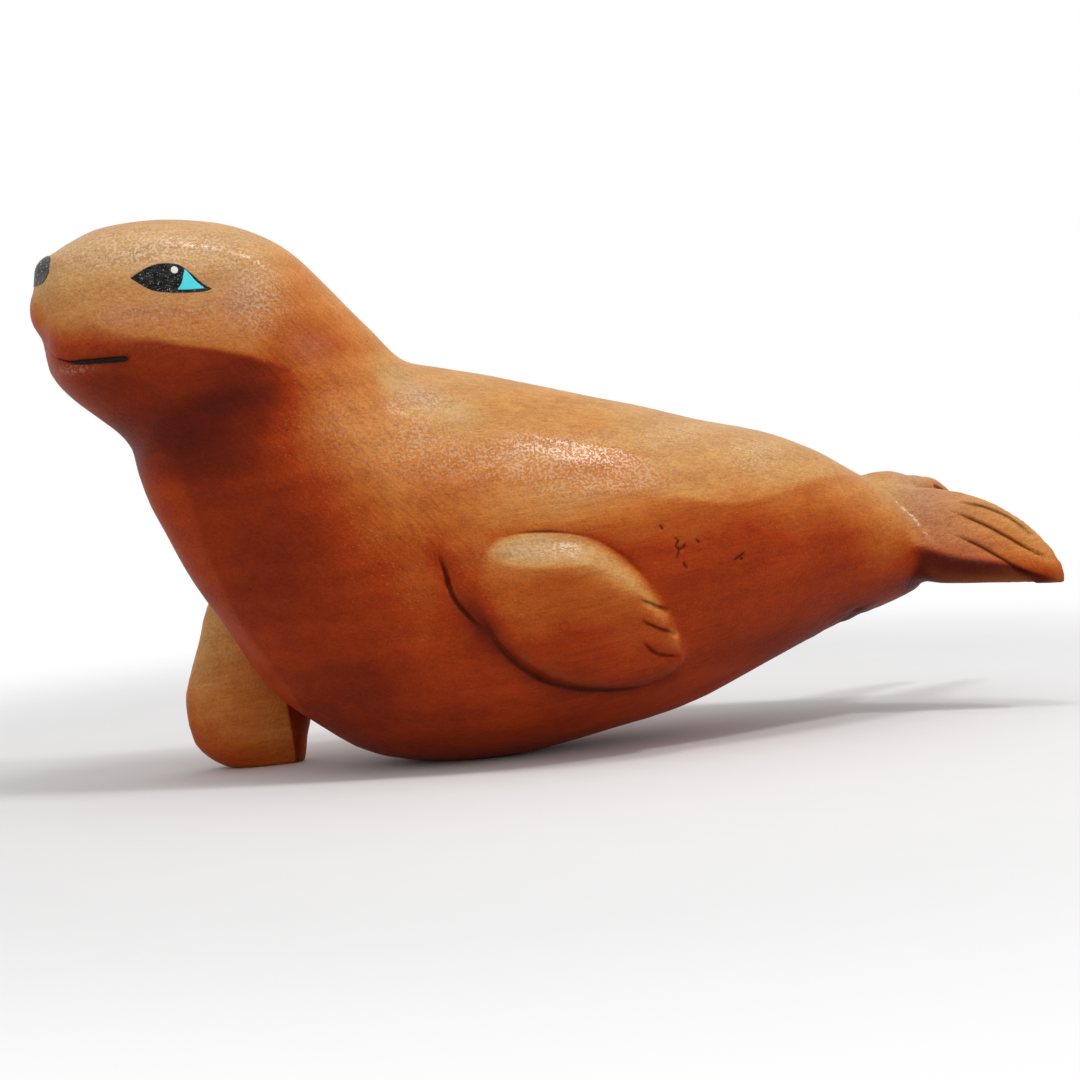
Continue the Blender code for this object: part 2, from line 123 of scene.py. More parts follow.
# Raised edges between planes, and one hollow: line, how wide it is in millimetres, and its
# share of the height.
PLANE_EDGES = ((BROW_EDGE, 4.5, 0.8), (CHEST_EDGE, 3.5, 1.0), (NECK_RIDGE, 4.5, 0.9),
               (NECK_HOLLOW, 4.5, -1.0), (BACK_RIDGE, 3.5, 0.8), (RUMP_EDGE, 2.5, 0.8))
# Edges that get finer faces, because a step runs along them, or a change of tint that is partly
# stain and partly painted light and shade.
CRISP_EDGES = (CHEEK_SHELF, FOOT_EDGE, BEVEL_FOOT, LEAF_RIM, HIND_FACET, CUFF, RUMP_EDGE)

# Holes and tracks of wood worms in the near flank.
WORM_TRACKS = (
    ((198, 78.2), (198.9, 77)),
    ((203, 73.6), (204.2, 72.4), (203.3, 70.9), (204.2, 69.4), (203.5, 66.8)),
    ((204.2, 69.6), (205.8, 69.9), (206.5, 71)),
    ((205.6, 65), (206.6, 63.2)),
    ((210.9, 72.3), (212.1, 71.2)),
    ((224.8, 64), (226.4, 64.6), (228.6, 66)),
    ((227.2, 63.9), (228, 64.3)),
)
KNOT = (161, -57, 48)
KNOT_RADIUS = 1.5 * MM

# How far back each part of the seal reaches or starts.
JAW_END = 60
HEAD_END = 110
LEAF_SPAN = (115, 212)
TAIL_START = 288
# How far to the side the folded flipper, the planted foot and the far hind flipper start.
LEAF_SIDE = -20
FOOT_SIDE = 14
FAR_TOES_SIDE = 12

# The carving's faces are halved twice: within these distances, in millimetres, of a cut and
# of a crisp edge.
SPLIT_REACHES = ((2.6, 2.0), (1.5, 0.0))
# Rounds of easing: of the normals that say what faces up, and of the places that say what is
# hollow on the scale of a palm and of a fingernail.
RISE_ROUNDS = 20
PALM_ROUNDS = 31
NAIL_ROUNDS = 3

# Sizes of the noise along back, side and height, in millimetres, each with its own seed.
WAVES = ((30, 26, 26), 2.0)
TOOL_HOLLOWS = ((17, 11, 11), 5.0)
WORKED_AREAS = ((45, 45, 45), 9.0)
UNDER_TAIL_CHIPS = ((6, 5, 5), 8.0)
FAR_TIP_CHIPS = ((6, 8, 4.5), 3.0)

# Where the wood is drawn paler (over 0) or darker (under 0): middle and reach, each as
# (back, height), and how much. The darker ones under the jaw, low on the body and under
# the hind flipper are partly painted shade.
STAIN_AND_SHADE_PATCHES = (
    ((66, 134), (18, 12), -0.26), ((42, 118), (22, 17), -0.28), ((68, 84), (24, 34), -0.14),
    ((93, 26), (24, 18), -0.15), ((150, 88), (32, 12), 0.09), ((118, 46), (9, 20), 0.10),
    ((289, 62), (12, 16), 0.12), ((252, 32), (44, 8), -0.12), ((303, 79), (9, 8), 0.10),
    ((25, 141), (14, 5), -0.10), ((112, 70), (14, 12), 0.04), ((198, 44), (8, 9), -0.06),
    ((97, 148), (14, 12), -0.16), ((281, 38), (9, 4), -0.20), ((320, 47), (24, 4.5), -0.30),
    ((312, 85), (7, 5), 0.22),
)
# Where the varnish is glossier, in the same way; the same patches paint a pale highlight into the
# wood's colour under the varnish's specks.
VARNISH_AND_HIGHLIGHT_PATCHES = (
    ((158, 104), (30, 6), 1.5), ((180, 94), (22, 4), 1.2), ((118, 112), (12, 9), 0.6),
    ((95, 121), (9, 16), 0.3), ((240, 98), (12, 6), 0.8), ((154, 74), (14, 3.5), 0.7),
    ((12, 143.8), (5, 1.6), 0.5), ((72, 164), (8, 10), 1.2), ((45, 160), (26, 8), 0.4),
    ((42, 180), (24, 6), 1.7), ((31, 182), (12, 5), 1.2), ((126, 126), (10, 4), 0.7),
    ((212, 107), (14, 4), 0.6),
)
# Where the wood has greyed.
GREYED_PATCHES = (
    ((66, 164), (8, 9), 0.8), ((28, 160), (12, 4), 0.5), ((48, 166), (24, 12), 0.3),
    ((122, 128), (9, 4), 0.6), ((88, 146), (8, 6), 0.4), ((307, 75), (9, 8), 0.7),
)
# Where the planted flipper is drawn darker.
FOOT_PATCHES = (((52, 3), (16, 9), 1.0),)

# The mouth runs round an upright axis, as its cut in the solid does: heights in front and at
# the sides, the turn at which it is level, and the turn of its corners.
MOUTH_AXIS = 32.0
MOUTH_HEIGHTS = (152.4, 146.0)
MOUTH_LEVEL = math.radians(45)
MOUTH_REACH = math.radians(82)
MOUTH_PLACES = 61
# Shares of the way from the front to a corner where the paint starts and is at full width.
MOUTH_PAINT = (0.40, 0.62)

# Painted shapes: runs of places that meet in sharp corners.
EYE = (
    ((30.8, 172.1), (33.4, 173.7), (38.3, 175.9), (43.3, 176.2), (47, 175.3), (50.2, 172.5),
     (53.7, 168.9), (56.7, 166.8)),
    ((56.7, 166.8), (53.8, 166.1), (47.6, 166.1), (41.8, 166.6), (36.6, 167.9), (30.8, 172.1)),
)
IRIS = (
    ((48.4, 173.9), (47.6, 171.5), (46.9, 169.4), (45.3, 167.2)),
    ((45.3, 167.2), (49, 167), (54.2, 167.1)),
    ((54.2, 167.1), (51.7, 169.5), (49.9, 172), (48.4, 173.9)),
)
GLINT_CENTRE = (45.1, 173.7)
GLINT_WIDTH = 2.4
GLINT_CORNERS = 8
NOSE_PAD = (
    ((0, 182.2), (4, 181.8), (7.6, 180.4), (9.9, 178), (10.9, 175.7), (10.7, 174.1), (9.5, 173),
     (7.2, 172.5), (3.5, 172.2), (0, 172.2)),
)


# Sizes and colours that a user would change.

class SealCarvingSizes(bpy.types.PropertyGroup):
    grain: FloatProperty(name="Mesh grain", description="Width of a face of the carved surface",
                         default=1.62 * MM, min=1.2 * MM, unit="LENGTH")
    sanding: IntProperty(name="Sanding", description="Rounds of smoothing over the whole seal",
                         default=78, min=0)
    waves: FloatProperty(name="Hand waves", description="Height of the slow waves left by hand",
                         default=0.45 * MM, unit="LENGTH")
    scallops: FloatProperty(name="Tool hollows", description="Depth of the small tool hollows",
                            default=0.16 * MM, unit="LENGTH")
    shelf: FloatProperty(name="Cheek shelf", description="Step from the cheek to the jaw",
                         default=1.7 * MM, unit="LENGTH")
    edges: FloatProperty(name="Plane edges", description="Height of the edges between planes",
                         default=0.8 * MM, unit="LENGTH")
    cuts: FloatProperty(name="Cuts", description="Depth added in the bottom of each cut",
                        default=1.3 * MM, unit="LENGTH")


class SealWoodColours(bpy.types.PropertyGroup):
    # The stops run from the under side to the top: besides the stain's own change, the darker
    # ones paint shade on what faces down and the paler ones paint light on what faces up.
    deep: FloatVectorProperty(name="Deep stain", description="Wood where the stain is thickest",
                              default=(0.10, 0.008, 0.002), subtype="COLOR", min=0, max=1)
    red: FloatVectorProperty(name="Red stain", description="Wood on the under side",
                             default=(0.24, 0.022, 0.002), subtype="COLOR", min=0, max=1)
    warm: FloatVectorProperty(name="Warm stain", description="Wood on the sides",
                              default=(0.41, 0.043, 0.003), subtype="COLOR", min=0, max=1)
    orange: FloatVectorProperty(name="Orange wood", description="Wood above the sides",
                                default=(0.53, 0.115, 0.014), subtype="COLOR", min=0, max=1)
    amber: FloatVectorProperty(name="Amber wood", description="Wood where the stain thins out",
                               default=(0.64, 0.22, 0.048), subtype="COLOR", min=0, max=1)
    pale: FloatVectorProperty(name="Pale wood", description="Wood on the top, where it is worn",
                              default=(0.65, 0.31, 0.095), subtype="COLOR", min=0, max=1)
    bare: FloatVectorProperty(name="Bare wood", description="The most worn wood",
                              default=(0.64, 0.36, 0.145), subtype="COLOR", min=0, max=1)
    mauve: FloatVectorProperty(name="Greyed wood", description="Wood of the hind flippers",
                               default=(0.50, 0.23, 0.14), subtype="COLOR", min=0, max=1)
    # Also the painted shade along the bottom of each cut, and the darker hollows.
    dark: FloatVectorProperty(name="Pooled stain", description="Stain in the bottom of cuts",
                              default=(0.035, 0.005, 0.002), subtype="COLOR", min=0, max=1)
    varnish: FloatProperty(name="Varnish roughness", description="0 is a mirror, 1 is chalk",
                           default=0.30, min=0, max=1)


class SealPaint(bpy.types.PropertyGroup):
    black: FloatVectorProperty(name="Black paint", description="Eyes and mouth",
                               default=(0.006, 0.005, 0.005), subtype="COLOR", min=0, max=1)
    blue: FloatVectorProperty(name="Blue paint", description="Iris of each eye",
                              default=(0.10, 0.80, 0.92), subtype="COLOR", min=0, max=1)
    white: FloatVectorProperty(name="White paint", description="Dot in each eye",
                               default=(0.86, 0.86, 0.82), subtype="COLOR", min=0, max=1)
    nose: FloatVectorProperty(name="Nose paint", description="Dark grey pad of the nose",
                              default=(0.055, 0.05, 0.045), subtype="COLOR", min=0, max=1)
    film: FloatProperty(name="Paint thickness", description="How far paint stands on the wood",
                        default=0.16 * MM, unit="LENGTH")
    mouth: FloatProperty(name="Mouth stroke", description="Width of the stroke at its corners",
                         default=1.8 * MM, unit="LENGTH")
    sides: IntProperty(name="Sides of the stroke", description="Faces round the mouth stroke",
                       default=12, min=3)


class SealStageSizes(bpy.types.PropertyGroup):
    floor: FloatProperty(name="Floor radius", description="Radius of the round pale floor",
                         default=3.0, unit="LENGTH")
    lamp: FloatProperty(name="Lamp power", description="Power of the wide lamp overhead",
                        default=1.2, unit="POWER")
    spark: FloatProperty(name="Small lamp power", description="Power of each small bright lamp",
                         default=2.0, unit="POWER")
    sky: FloatProperty(name="Room light", description="Strength of the light from overhead",
                       default=0.55)
    walls: FloatProperty(name="Wall light", description="Strength of the light from the sides",
                         default=0.64)
    away: FloatProperty(name="Camera distance", description="From the camera to the seal",
                        default=0.95, unit="LENGTH")


# Measuring on the seal.

def foot_of_frame():
    """The world place of (0, 0, 0): under the tip of the muzzle, on the table."""
    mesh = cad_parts[NODE].data
    tip = min(mesh.vertices, key=lambda vertex: vertex.co.x).co
    return np.array((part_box(NODE)[0][0], tip.y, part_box(NODE)[0][2]))


def soft_step(values, low, high):
    """0 under low, 1 over high and an easy ramp between them."""
    share = np.clip((values - low) / (high - low), 0.0, 1.0)
    return share * share * (3.0 - 2.0 * share)


def hump(distance, width):
    """A round hump, 1 at no distance."""
    return np.exp(-(distance / width) ** 2)


def bend(points, steps):
    """A smooth curve through the points, ends kept."""
    points = np.array(points, float)
    padded = np.vstack((2 * points[0] - points[1], points, 2 * points[-1] - points[-2]))
    rows = []
    for index in range(len(points) - 1):
        a, b, c, d = padded[index:index + 4]
        for step in range(steps):
            t = step / steps
            rows.append(0.5 * (2 * b + (c - a) * t + (2 * a - 5 * b + 4 * c - d) * t * t
                               + (3 * b - a - 3 * c + d) * t ** 3))
    rows.append(points[-1])
    return np.array(rows)


def near_line(places, line, steps=4):
    """For places as (back, height), or in space: distance to the line, the same signed above
    or below it, and the share of the line's length at which its nearest place lies."""
    line = bend(line, steps) if steps > 1 else np.array(line)
    lengths = np.linalg.norm(np.diff(line, axis=0), axis=1)
    runs = np.concatenate(((0.0,), np.cumsum(lengths)))
    best = np.full(len(places), np.inf)
    signed = np.zeros(len(places))
    along = np.zeros(len(places))
    for index, (start, end) in enumerate(zip(line[:-1], line[1:])):
        run = end - start
        share = np.clip((places - start) @ run / (run @ run), 0.0, 1.0)
        off = places - start - share[:, None] * run
        distance = np.linalg.norm(off, axis=1)
        closer = distance < best
        best[closer] = distance[closer]
        side = run[0] * off[:, 1] - run[1] * off[:, 0]
        signed[closer] = (np.sign(side) * distance)[closer]
        along[closer] = ((runs[index] + share * lengths[index]) / runs[-1])[closer]
    return best, signed, along


def from_side(points):
    """Places as (back, height)."""
    return points[:, (0, 2)]


def open_ends(along, start, stop):
    """Rises from 0 to 1 across the span start and falls again across the span stop."""
    return soft_step(along, *start) * (1.0 - soft_step(along, *stop))


# Working the mesh.

SAND_STEPS = (0.5, -0.53)


class Surface:
    """A mesh as arrays: places in millimetres on the seal, and its edges."""

    def __init__(self, mesh, foot):
        self.mesh = mesh
        self.foot = foot
        self.read()

    def read(self):
        """Takes places and edges from the mesh."""
        count = len(self.mesh.vertices)
        flat = np.empty(count * 3)
        self.mesh.vertices.foreach_get("co", flat)
        self.points = (flat.reshape(-1, 3) - self.foot) / MM
        ends = np.empty(len(self.mesh.edges) * 2, dtype=np.int64)
        self.mesh.edges.foreach_get("vertices", ends)
        self.edges = ends.reshape(-1, 2)
        self.neighbours = np.maximum(np.bincount(ends, minlength=count), 1)

    def write(self):
        """Puts the places back into the mesh."""
        flat = (self.points * MM + self.foot).astype(np.float32).ravel()
        self.mesh.vertices.foreach_set("co", flat)
        self.mesh.update()

    def normals(self):
        flat = np.empty(len(self.mesh.vertices) * 3)
        self.mesh.vertices.foreach_get("normal", flat)
        return flat.reshape(-1, 3)

    def around(self, values):
        """The mean over the neighbours of each vertex."""
        count = len(self.neighbours)
        low, high = self.edges[:, 0], self.edges[:, 1]
        total = np.empty_like(values)
        for column in range(values.shape[1]):
            total[:, column] = (np.bincount(low, values[high, column], count)
                                + np.bincount(high, values[low, column], count))
        return total / self.neighbours[:, None]

    def eased(self, values, rounds):
        """The values after rounds of halfway moves to their neighbours' mean."""
        for _ in range(rounds):
            values = 0.5 * values + 0.5 * self.around(values)
        return values

    def sand(self, rounds, keep):
        """Smooths without shrinking: each step in is followed by a longer one out. keep is 1
        where nothing may move."""
        loose = (1.0 - keep)[:, None]
        for _ in range(rounds):
            for strength in SAND_STEPS:
                pull = self.around(self.points) - self.points
                self.points = self.points + strength * loose * pull

    def note(self, name, values):
        """Keeps one number for each vertex, for the materials to read."""
        layer = self.mesh.attributes.new(name, "FLOAT", "POINT")
        layer.data.foreach_set("value", values.astype(np.float32))


def moved(line):
    """A line of the near hind flipper, moved to the far one."""
    return [(back + FAR_TOES_MOVED[0], height + FAR_TOES_MOVED[1]) for back, height in line]


def all_cuts(points):
    """The cuts of the flippers: line, the side of the seal that it is on, how much of the added
    depth it gets, how wide its gentle lower wall is and how wide its dark line of stain and
    painted shade, in millimetres."""
    near_side = points[:, 1] < 0
    cuts = [(line, near_side, 1.0, 3.0, 0.5) for line in FINGERS]
    cuts += [(line, near_side, 0.9, 1.5, 0.5) for line in TOES]
    far_toes = points[:, 1] > FAR_TOES_SIDE
    cuts += [(moved(line), far_toes, 0.9, 1.5, 0.5) for line in TOES]
    cuts += [(line, near_side, 0.5, 0.5, 0.42) for line in WORM_TRACKS]
    cuts += [(SHOULDER_FOLD, near_side, 0.8, 1.6, 0.9), (UNDERCUT, near_side, 0.9, 2.4, 1.0),
             (FLIPPER_TOP, near_side, 0.35, 0.8, 0.6)]
    return cuts


def stain_and_shade_in_cuts(points):
    """1 along the bottom of each cut, where the stain is left dark and shade is painted in."""
    places = from_side(points)
    ink = np.zeros(len(points))
    for line, where, _, _, width in all_cuts(points):
        distance, _, along = near_line(places[where], line)
        ends = 1.0 if line in WORM_TRACKS else open_ends(along, (0.0, 0.3), (0.75, 1.0))
        if line is FLIPPER_TOP:
            ends = ends * (1.0 - 0.7 * soft_step(along, 0.3, 0.6))
        stroke = (0.25 + 0.75 * ends) * hump(distance, width * (0.35 + 0.65 * ends))
        ink[where] = np.maximum(ink[where], stroke)
    return ink


def patches(points, spots):
    """The sum of soft round spots, each middle, reach and amount, seen from the side."""
    total = np.zeros(len(points))
    for (back, height), (wide, high), amount in spots:
        off = ((points[:, 0] - back) / wide) ** 2 + ((points[:, 2] - height) / high) ** 2
        total += amount * np.exp(-off)
    return total


def cut_distance(points, mouth):
    """Distance to the nearest cut."""
    places = from_side(points)
    best = np.full(len(points), np.inf)
    for line, where, _, _, _ in all_cuts(points):
        distance, _, _ = near_line(places[where], line)
        best[where] = np.minimum(best[where], distance)
    jaws = points[:, 0] < JAW_END
    distance, _, _ = near_line(points[jaws], mouth, steps=1)
    best[jaws] = np.minimum(best[jaws], distance)
    return best


def edge_distance(points):
    """Distance, from the side, to the nearest crisp edge between two planes or two stains."""
    places = from_side(points)
    return np.min([near_line(places, line)[0] for line in CRISP_EDGES], axis=0)


def mouth_places(tree, foot):
    """Places along the bottom of the mouth's cut, from corner to corner."""
    places = []
    for turn in np.linspace(-MOUTH_REACH, MOUTH_REACH, MOUTH_PLACES):
        fall = float(soft_step(abs(turn), 0.0, MOUTH_LEVEL))
        height = MOUTH_HEIGHTS[0] + (MOUTH_HEIGHTS[1] - MOUTH_HEIGHTS[0]) * fall
        start = (MOUTH_AXIS, 0.0, height)
        out = (MOUTH_AXIS - math.cos(turn), -math.sin(turn), height)
        place, _ = touch(tree, foot, start, out)
        places.append((np.array(place) - foot) / MM)
    return np.array(places)


def mouth_width(share):
    """How open the mouth is at a share of its length, from 0 in front to 1 at the corners."""
    return soft_step(np.abs(2.0 * share - 1.0), *MOUTH_PAINT)


def remeshed(source, grain):
    """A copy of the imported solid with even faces."""
    work = bmesh.new()
    work.from_mesh(source.data)
    bmesh.ops.remove_doubles(work, verts=work.verts, dist=SEAM)
    mesh = bpy.data.meshes.new(CARVING)
    work.to_mesh(mesh)
    work.free()
    piece = bpy.data.objects.new(CARVING, mesh)
    bpy.context.collection.objects.link(piece)
    evener = piece.modifiers.new("even", "REMESH")
    evener.mode = "VOXEL"
    evener.voxel_size = grain
    view = bpy.context.evaluated_depsgraph_get()
    even = bpy.data.meshes.new_from_object(piece.evaluated_get(view))
    piece.modifiers.clear()
    piece.data = even
    bpy.data.meshes.remove(mesh)
    even.name = CARVING
    return piece


def split_near(mesh, close):
    """Halves the faces round the marked vertices."""
    work = bmesh.new()
    work.from_mesh(mesh)
    work.verts.ensure_lookup_table()
    edges = [edge for edge in work.edges
             if close[edge.verts[0].index] and close[edge.verts[1].index]]
    bmesh.ops.subdivide_edges(work, edges=edges, cuts=1, use_grid_fill=True)
    work.to_mesh(mesh)
    work.free()


def noise_at(points, size, seed):
    """Smooth noise from -1 to 1 whose waves are size millimetres long on each axis."""
    scaled = points / np.array(size) + np.array((seed, 3.1 * seed, 7.7 * seed))
    return np.array([noise.noise(Vector(place)) for place in scaled])


def scallops_at(points, size, seed):
    """Shallow round hollows side by side: 0 in their middles, 1 on the ridges between."""
    scaled = points / np.array(size) + seed
    first = np.array([noise.voronoi(Vector(place))[0][0] for place in scaled])
    return np.clip(first, 0.0, 1.0) ** 2


def cheek_plate(points):
    """1 on the side of the head between the brow edge, the cheek shelf and the cheek's rear."""
    places = from_side(points)
    plate = np.zeros(len(points))
    head = points[:, 0] < HEAD_END
    _, over, _ = near_line(places[head], CHEEK_SHELF)
    _, under, _ = near_line(places[head], BROW_EDGE)
    plate[head] = soft_step(over, -0.5, 1.0) * soft_step(-under, -1.5, 2.5)
    return plate


def carve_moves(points, normals, sizes, mouth):
    """How far each place moves outwards, in millimetres."""
    places = from_side(points)
    outward = soft_step(np.abs(normals[:, 1]), 0.1, 0.45)
    quiet = 1.0 - 0.85 * hump(cut_distance(points, mouth), 5.0)
    move = np.zeros(len(points))

    # Slow waves of the hand and small hollows of the tool, both quieter beside a cut.
    move += sizes.waves / MM * quiet * noise_at(points, *WAVES)
    ridges = scallops_at(points, *TOOL_HOLLOWS)
    worked = soft_step(noise_at(points, *WORKED_AREAS), -0.25, 0.25)
    move += sizes.scallops / MM * quiet * (0.35 + 0.65 * worked) * (1.6 * ridges - 0.4)

    # The cheek stands over the jaw on a shelf, and is pared flat. The lower lip is full.
    head = points[:, 0] < HEAD_END
    shelf = sizes.shelf / MM
    _, signed, along = near_line(places[head], CHEEK_SHELF)
    ends = open_ends(along, (0.1, 0.3), (0.8, 1.0))
    lip = soft_step(signed, -1.3, 0.9)
    step = 0.5 * lip * hump(signed, 6.0) - 0.5 * (1.0 - lip) * hump(signed, 8.0)
    move[head] += shelf * ends * step
    move -= 0.45 * cheek_plate(points) * outward
    lip_line = hump(points[:, 2] - 144.0, 1.5) * hump(points[:, 0] - 12.0, 7.0)
    move += 0.5 * lip_line

    # Edges between the planes, with a slight dip beside each.
    edge = sizes.edges / MM
    for line, width, share in PLANE_EDGES:
        distance, _, along = near_line(places, line)
        ends = open_ends(along, (0.0, 0.15), (0.85, 1.0))
        edges = np.exp(-distance / width) - 0.25 * hump(distance, 4 * width)
        move += edge * share * ends * (0.3 + 0.7 * outward) * edges
    foot = points[:, 1] > FOOT_SIDE
    distance, _, along = near_line(places[foot], FOOT_EDGE)
    move[foot] += 0.5 * np.exp(-distance / 1.5) * soft_step(along, 0.0, 0.2)

    # The folded flipper's bevel ends in an edge, with a shallow dip over it.
    leaf = (points[:, 1] < LEAF_SIDE) & (points[:, 0] > LEAF_SPAN[0])
    leaf &= points[:, 0] < LEAF_SPAN[1]
    distance, signed, along = near_line(places[leaf], BEVEL_FOOT)
    ends = open_ends(along, (0.0, 0.12), (0.85, 1.0))
    move[leaf] += ends * (0.65 * np.exp(-distance / 1.8) - 0.25 * hump(signed - 4.5, 3.0))

    # Cuts are steep above and scooped below. The mouth's opens towards its corners.
    cut = sizes.cuts / MM
    for line, where, share, scoop, _ in all_cuts(points):
        _, signed, along = near_line(places[where], line)
        ends = open_ends(along, (0.0, 0.22), (0.92, 1.0))
        low_wall = 0.6 * hump(signed, 0.7) + 0.4 * hump(signed, scoop)
        depth = np.where(signed > 0, hump(signed, 0.5), low_wall)
        move[where] -= cut * share * ends * outward[where] * depth
    jaws = points[:, 0] < JAW_END
    distance, _, along = near_line(points[jaws], mouth, steps=1)
    width = 0.55 + 0.5 * mouth_width(along)
    move[jaws] -= (0.25 + 0.45 * mouth_width(along)) * hump(distance, width)

    # The cuff ends in a ledge over the hind flippers, and each flipper has a lower facet.
    tail = points[:, 0] > TAIL_START
    _, signed, along = near_line(places[tail], CUFF)
    ledge = soft_step(-signed, -0.6, 0.6)
    step = 0.6 * ledge * hump(signed, 3.5) - 0.7 * (1.0 - ledge) * hump(signed, 4.0)
    move[tail] += step * outward[tail] * (1.0 - soft_step(along, 0.9, 1.0))
    for line, where in ((HIND_FACET, tail & (points[:, 1] < -3)),
                        (moved(HIND_FACET), tail & (points[:, 1] > 3))):
        _, signed, along = near_line(places[where], line)
        ends = open_ends(along, (0.0, 0.2), (0.85, 1.0))
        plane = 0.5 * np.exp(-np.abs(signed) / 1.6) - 0.35 * hump(signed + 4.0, 3.0)
        move[where] += plane * ends * outward[where]

    # Chips under the root of the tail and at the far hind flipper's broken rim.
    under = hump(points[:, 0] - 280, 12) * (1.0 - soft_step(points[:, 2], 38, 44))
    move -= 1.1 * under * scallops_at(points, *UNDER_TAIL_CHIPS)
    far = tail & (points[:, 1] > 0)
    chips = scallops_at(points[far], *FAR_TIP_CHIPS)
    broken = soft_step(points[far, 2], 71, 79) * soft_step(points[far, 0], 304, 311)
    broken *= 1.0 - soft_step(points[far, 0], 320, 328)
    move[far] -= broken * (0.8 + 1.4 * chips)
    return move


def paleness_with_painted_light(points, rise):
    """How pale the wood is drawn, from 0 where the stain is deep to 1 on the top: partly stain
    and rubbing, partly painted light on what faces up and painted shade on what faces down. rise
    is how far each place faces up."""
    back, side, height = points.T
    places = from_side(points)
    # Facing up makes the wood paler and facing down darker: painted light and painted shade.
    upper = np.clip(rise, 0.0, 1.0)
    pale = 0.36 + upper - 0.5 * upper ** 2 + 0.16 * np.clip(rise, -1.0, 0.0)

    # The planted flipper has its own tint, so the body's patches stop at it.
    distance, _, along = near_line(places, PLANTED_AXIS)
    planted = soft_step(np.interp(along, *PLANTED_REACH) - distance, -1.5, 2.5)
    planted *= soft_step(side, 10, 16)
    pale += (1.0 - planted) * patches(points, STAIN_AND_SHADE_PATCHES)

    # The face is pale down to the cheek shelf, and fades into the jaw at the front; the darker
    # jaw under the shelf, which turns away from the light, is partly painted shade.
    head = back < HEAD_END
    front = 1.0 - soft_step(back[head], 16, 36)
    _, over, _ = near_line(places[head], CHEEK_SHELF)
    face = soft_step(over + 5.0 * front, -0.8 - front, 1.8 + 7.0 * front)
    face *= 1.0 - soft_step(back[head], 66, 90)
    pale[head] += face * (0.35 - 0.25 * upper[head])

    # Chest, neck and rump change their tint along the edges between their planes: partly stain,
    # partly painted light, such as the pale line along the neck's hollow and the paler top of the
    # rump.
    _, ahead, _ = near_line(places[head], CHEST_EDGE)
    chest = soft_step(-ahead, -1.0, 2.5) * (1.0 - soft_step(height[head], 98, 112))
    pale[head] += 0.09 * chest * (1.0 - planted[head])
    distance, _, _ = near_line(places, NECK_RIDGE)
    pale += 0.09 * hump(distance, 8.0) * (1.0 - upper)
    distance, _, along = near_line(places, NECK_HOLLOW)
    pale += 0.16 * hump(distance, 4.0) * soft_step(along, 0.1, 0.4)
    rear = open_ends(back, (190, 204), (284, 292))
    _, over, _ = near_line(places, RUMP_EDGE)
    over_edge = soft_step(over, -1.5, 2.0)
    pale += rear * (0.07 * over_edge - 0.06 * (1.0 - over_edge) * hump(over, 14.0))

    # The planted flipper is pale but for its toes and the plane behind its foot's edge.
    pale += planted * (0.25 - 0.18 * patches(points, FOOT_PATCHES))
    _, behind, _ = near_line(places, FOOT_EDGE)
    pale -= planted * 0.42 * soft_step(behind, 0.2, 1.2) * (1.0 - soft_step(height, 22, 27))

    # The near hind flipper is dark below its facet's edge: painted shade on the facet that turns
    # under.
    tail = soft_step(back, 299, 306)
    _, facet, _ = near_line(places, HIND_FACET)
    pale -= tail * 0.40 * (1.0 - soft_step(facet, -1.6, 0.8)) * (side < 4)

    # The folded flipper is paler than the flank round it, most of all on its bevel, where the
    # paleness is a painted highlight; beside its fold, undercut and top edge it is darker with
    # painted shade.
    near = (side < LEAF_SIDE).astype(float)
    leaf = near * soft_step(-near_line(places, LEAF_RIM)[1], -0.5, 2.0)
    leaf *= soft_step(back, 126, 148)
    for line, reach in ((SHOULDER_FOLD, 4.0), (UNDERCUT, 4.0), (FLIPPER_TOP, 3.0)):
        pale -= 0.12 * near * hump(near_line(places, line)[0], reach)
    _, over, along = near_line(places, BEVEL_FOOT)
    band = soft_step(over, -0.8, 0.6) * (1.0 - soft_step(along, 0.15, 0.85))
    pale += leaf * (0.13 * soft_step(height, 28, 56) + 0.20 * band)
    return pale


def ledge_glint(points):
    """1 along the crisp ledge of the cuff, where pale glints are painted into the colour."""
    glint = np.zeros(len(points))
    tail = (points[:, 0] > TAIL_START) & (points[:, 1] < 0)
    distance, _, along = near_line(from_side(points)[tail], CUFF)
    glint[tail] = hump(distance, 0.7) * open_ends(along, (0.1, 0.25), (0.78, 0.9))
    return glint


# Materials.

class Value:
    """A socket of a material, so that its sums read as plain Python."""

    def __init__(self, bench, socket):
        self.bench = bench
        self.socket = socket

    def maths(self, operation, *others, clamp=False):
        """A Math node on this value and others."""
        values = dict(enumerate((self, *others)))
        return self.bench.node("ShaderNodeMath", {"operation": operation, "use_clamp": clamp},
                               values)

    def __add__(self, other):
        return self.maths("ADD", other)

    __radd__ = __add__

    def __mul__(self, other):
        return self.maths("MULTIPLY", other)

    __rmul__ = __mul__

    def __sub__(self, other):
        return self.maths("SUBTRACT", other)

    def __rsub__(self, other):
        return self.bench.node("ShaderNodeMath", {"operation": "SUBTRACT"}, {0: other, 1: self})

    def __truediv__(self, other):
        return self.maths("DIVIDE", other)

    def clipped(self):
        """Kept from 0 to 1."""
        return self.maths("ADD", 0.0, clamp=True)

    def ramp(self, low, high):
        """0 under low, 1 over high and an easy ramp between."""
        return self.bench.node("ShaderNodeMapRange", {"interpolation_type": "SMOOTHSTEP"},
                               {"Value": self, "From Min": low, "From Max": high})


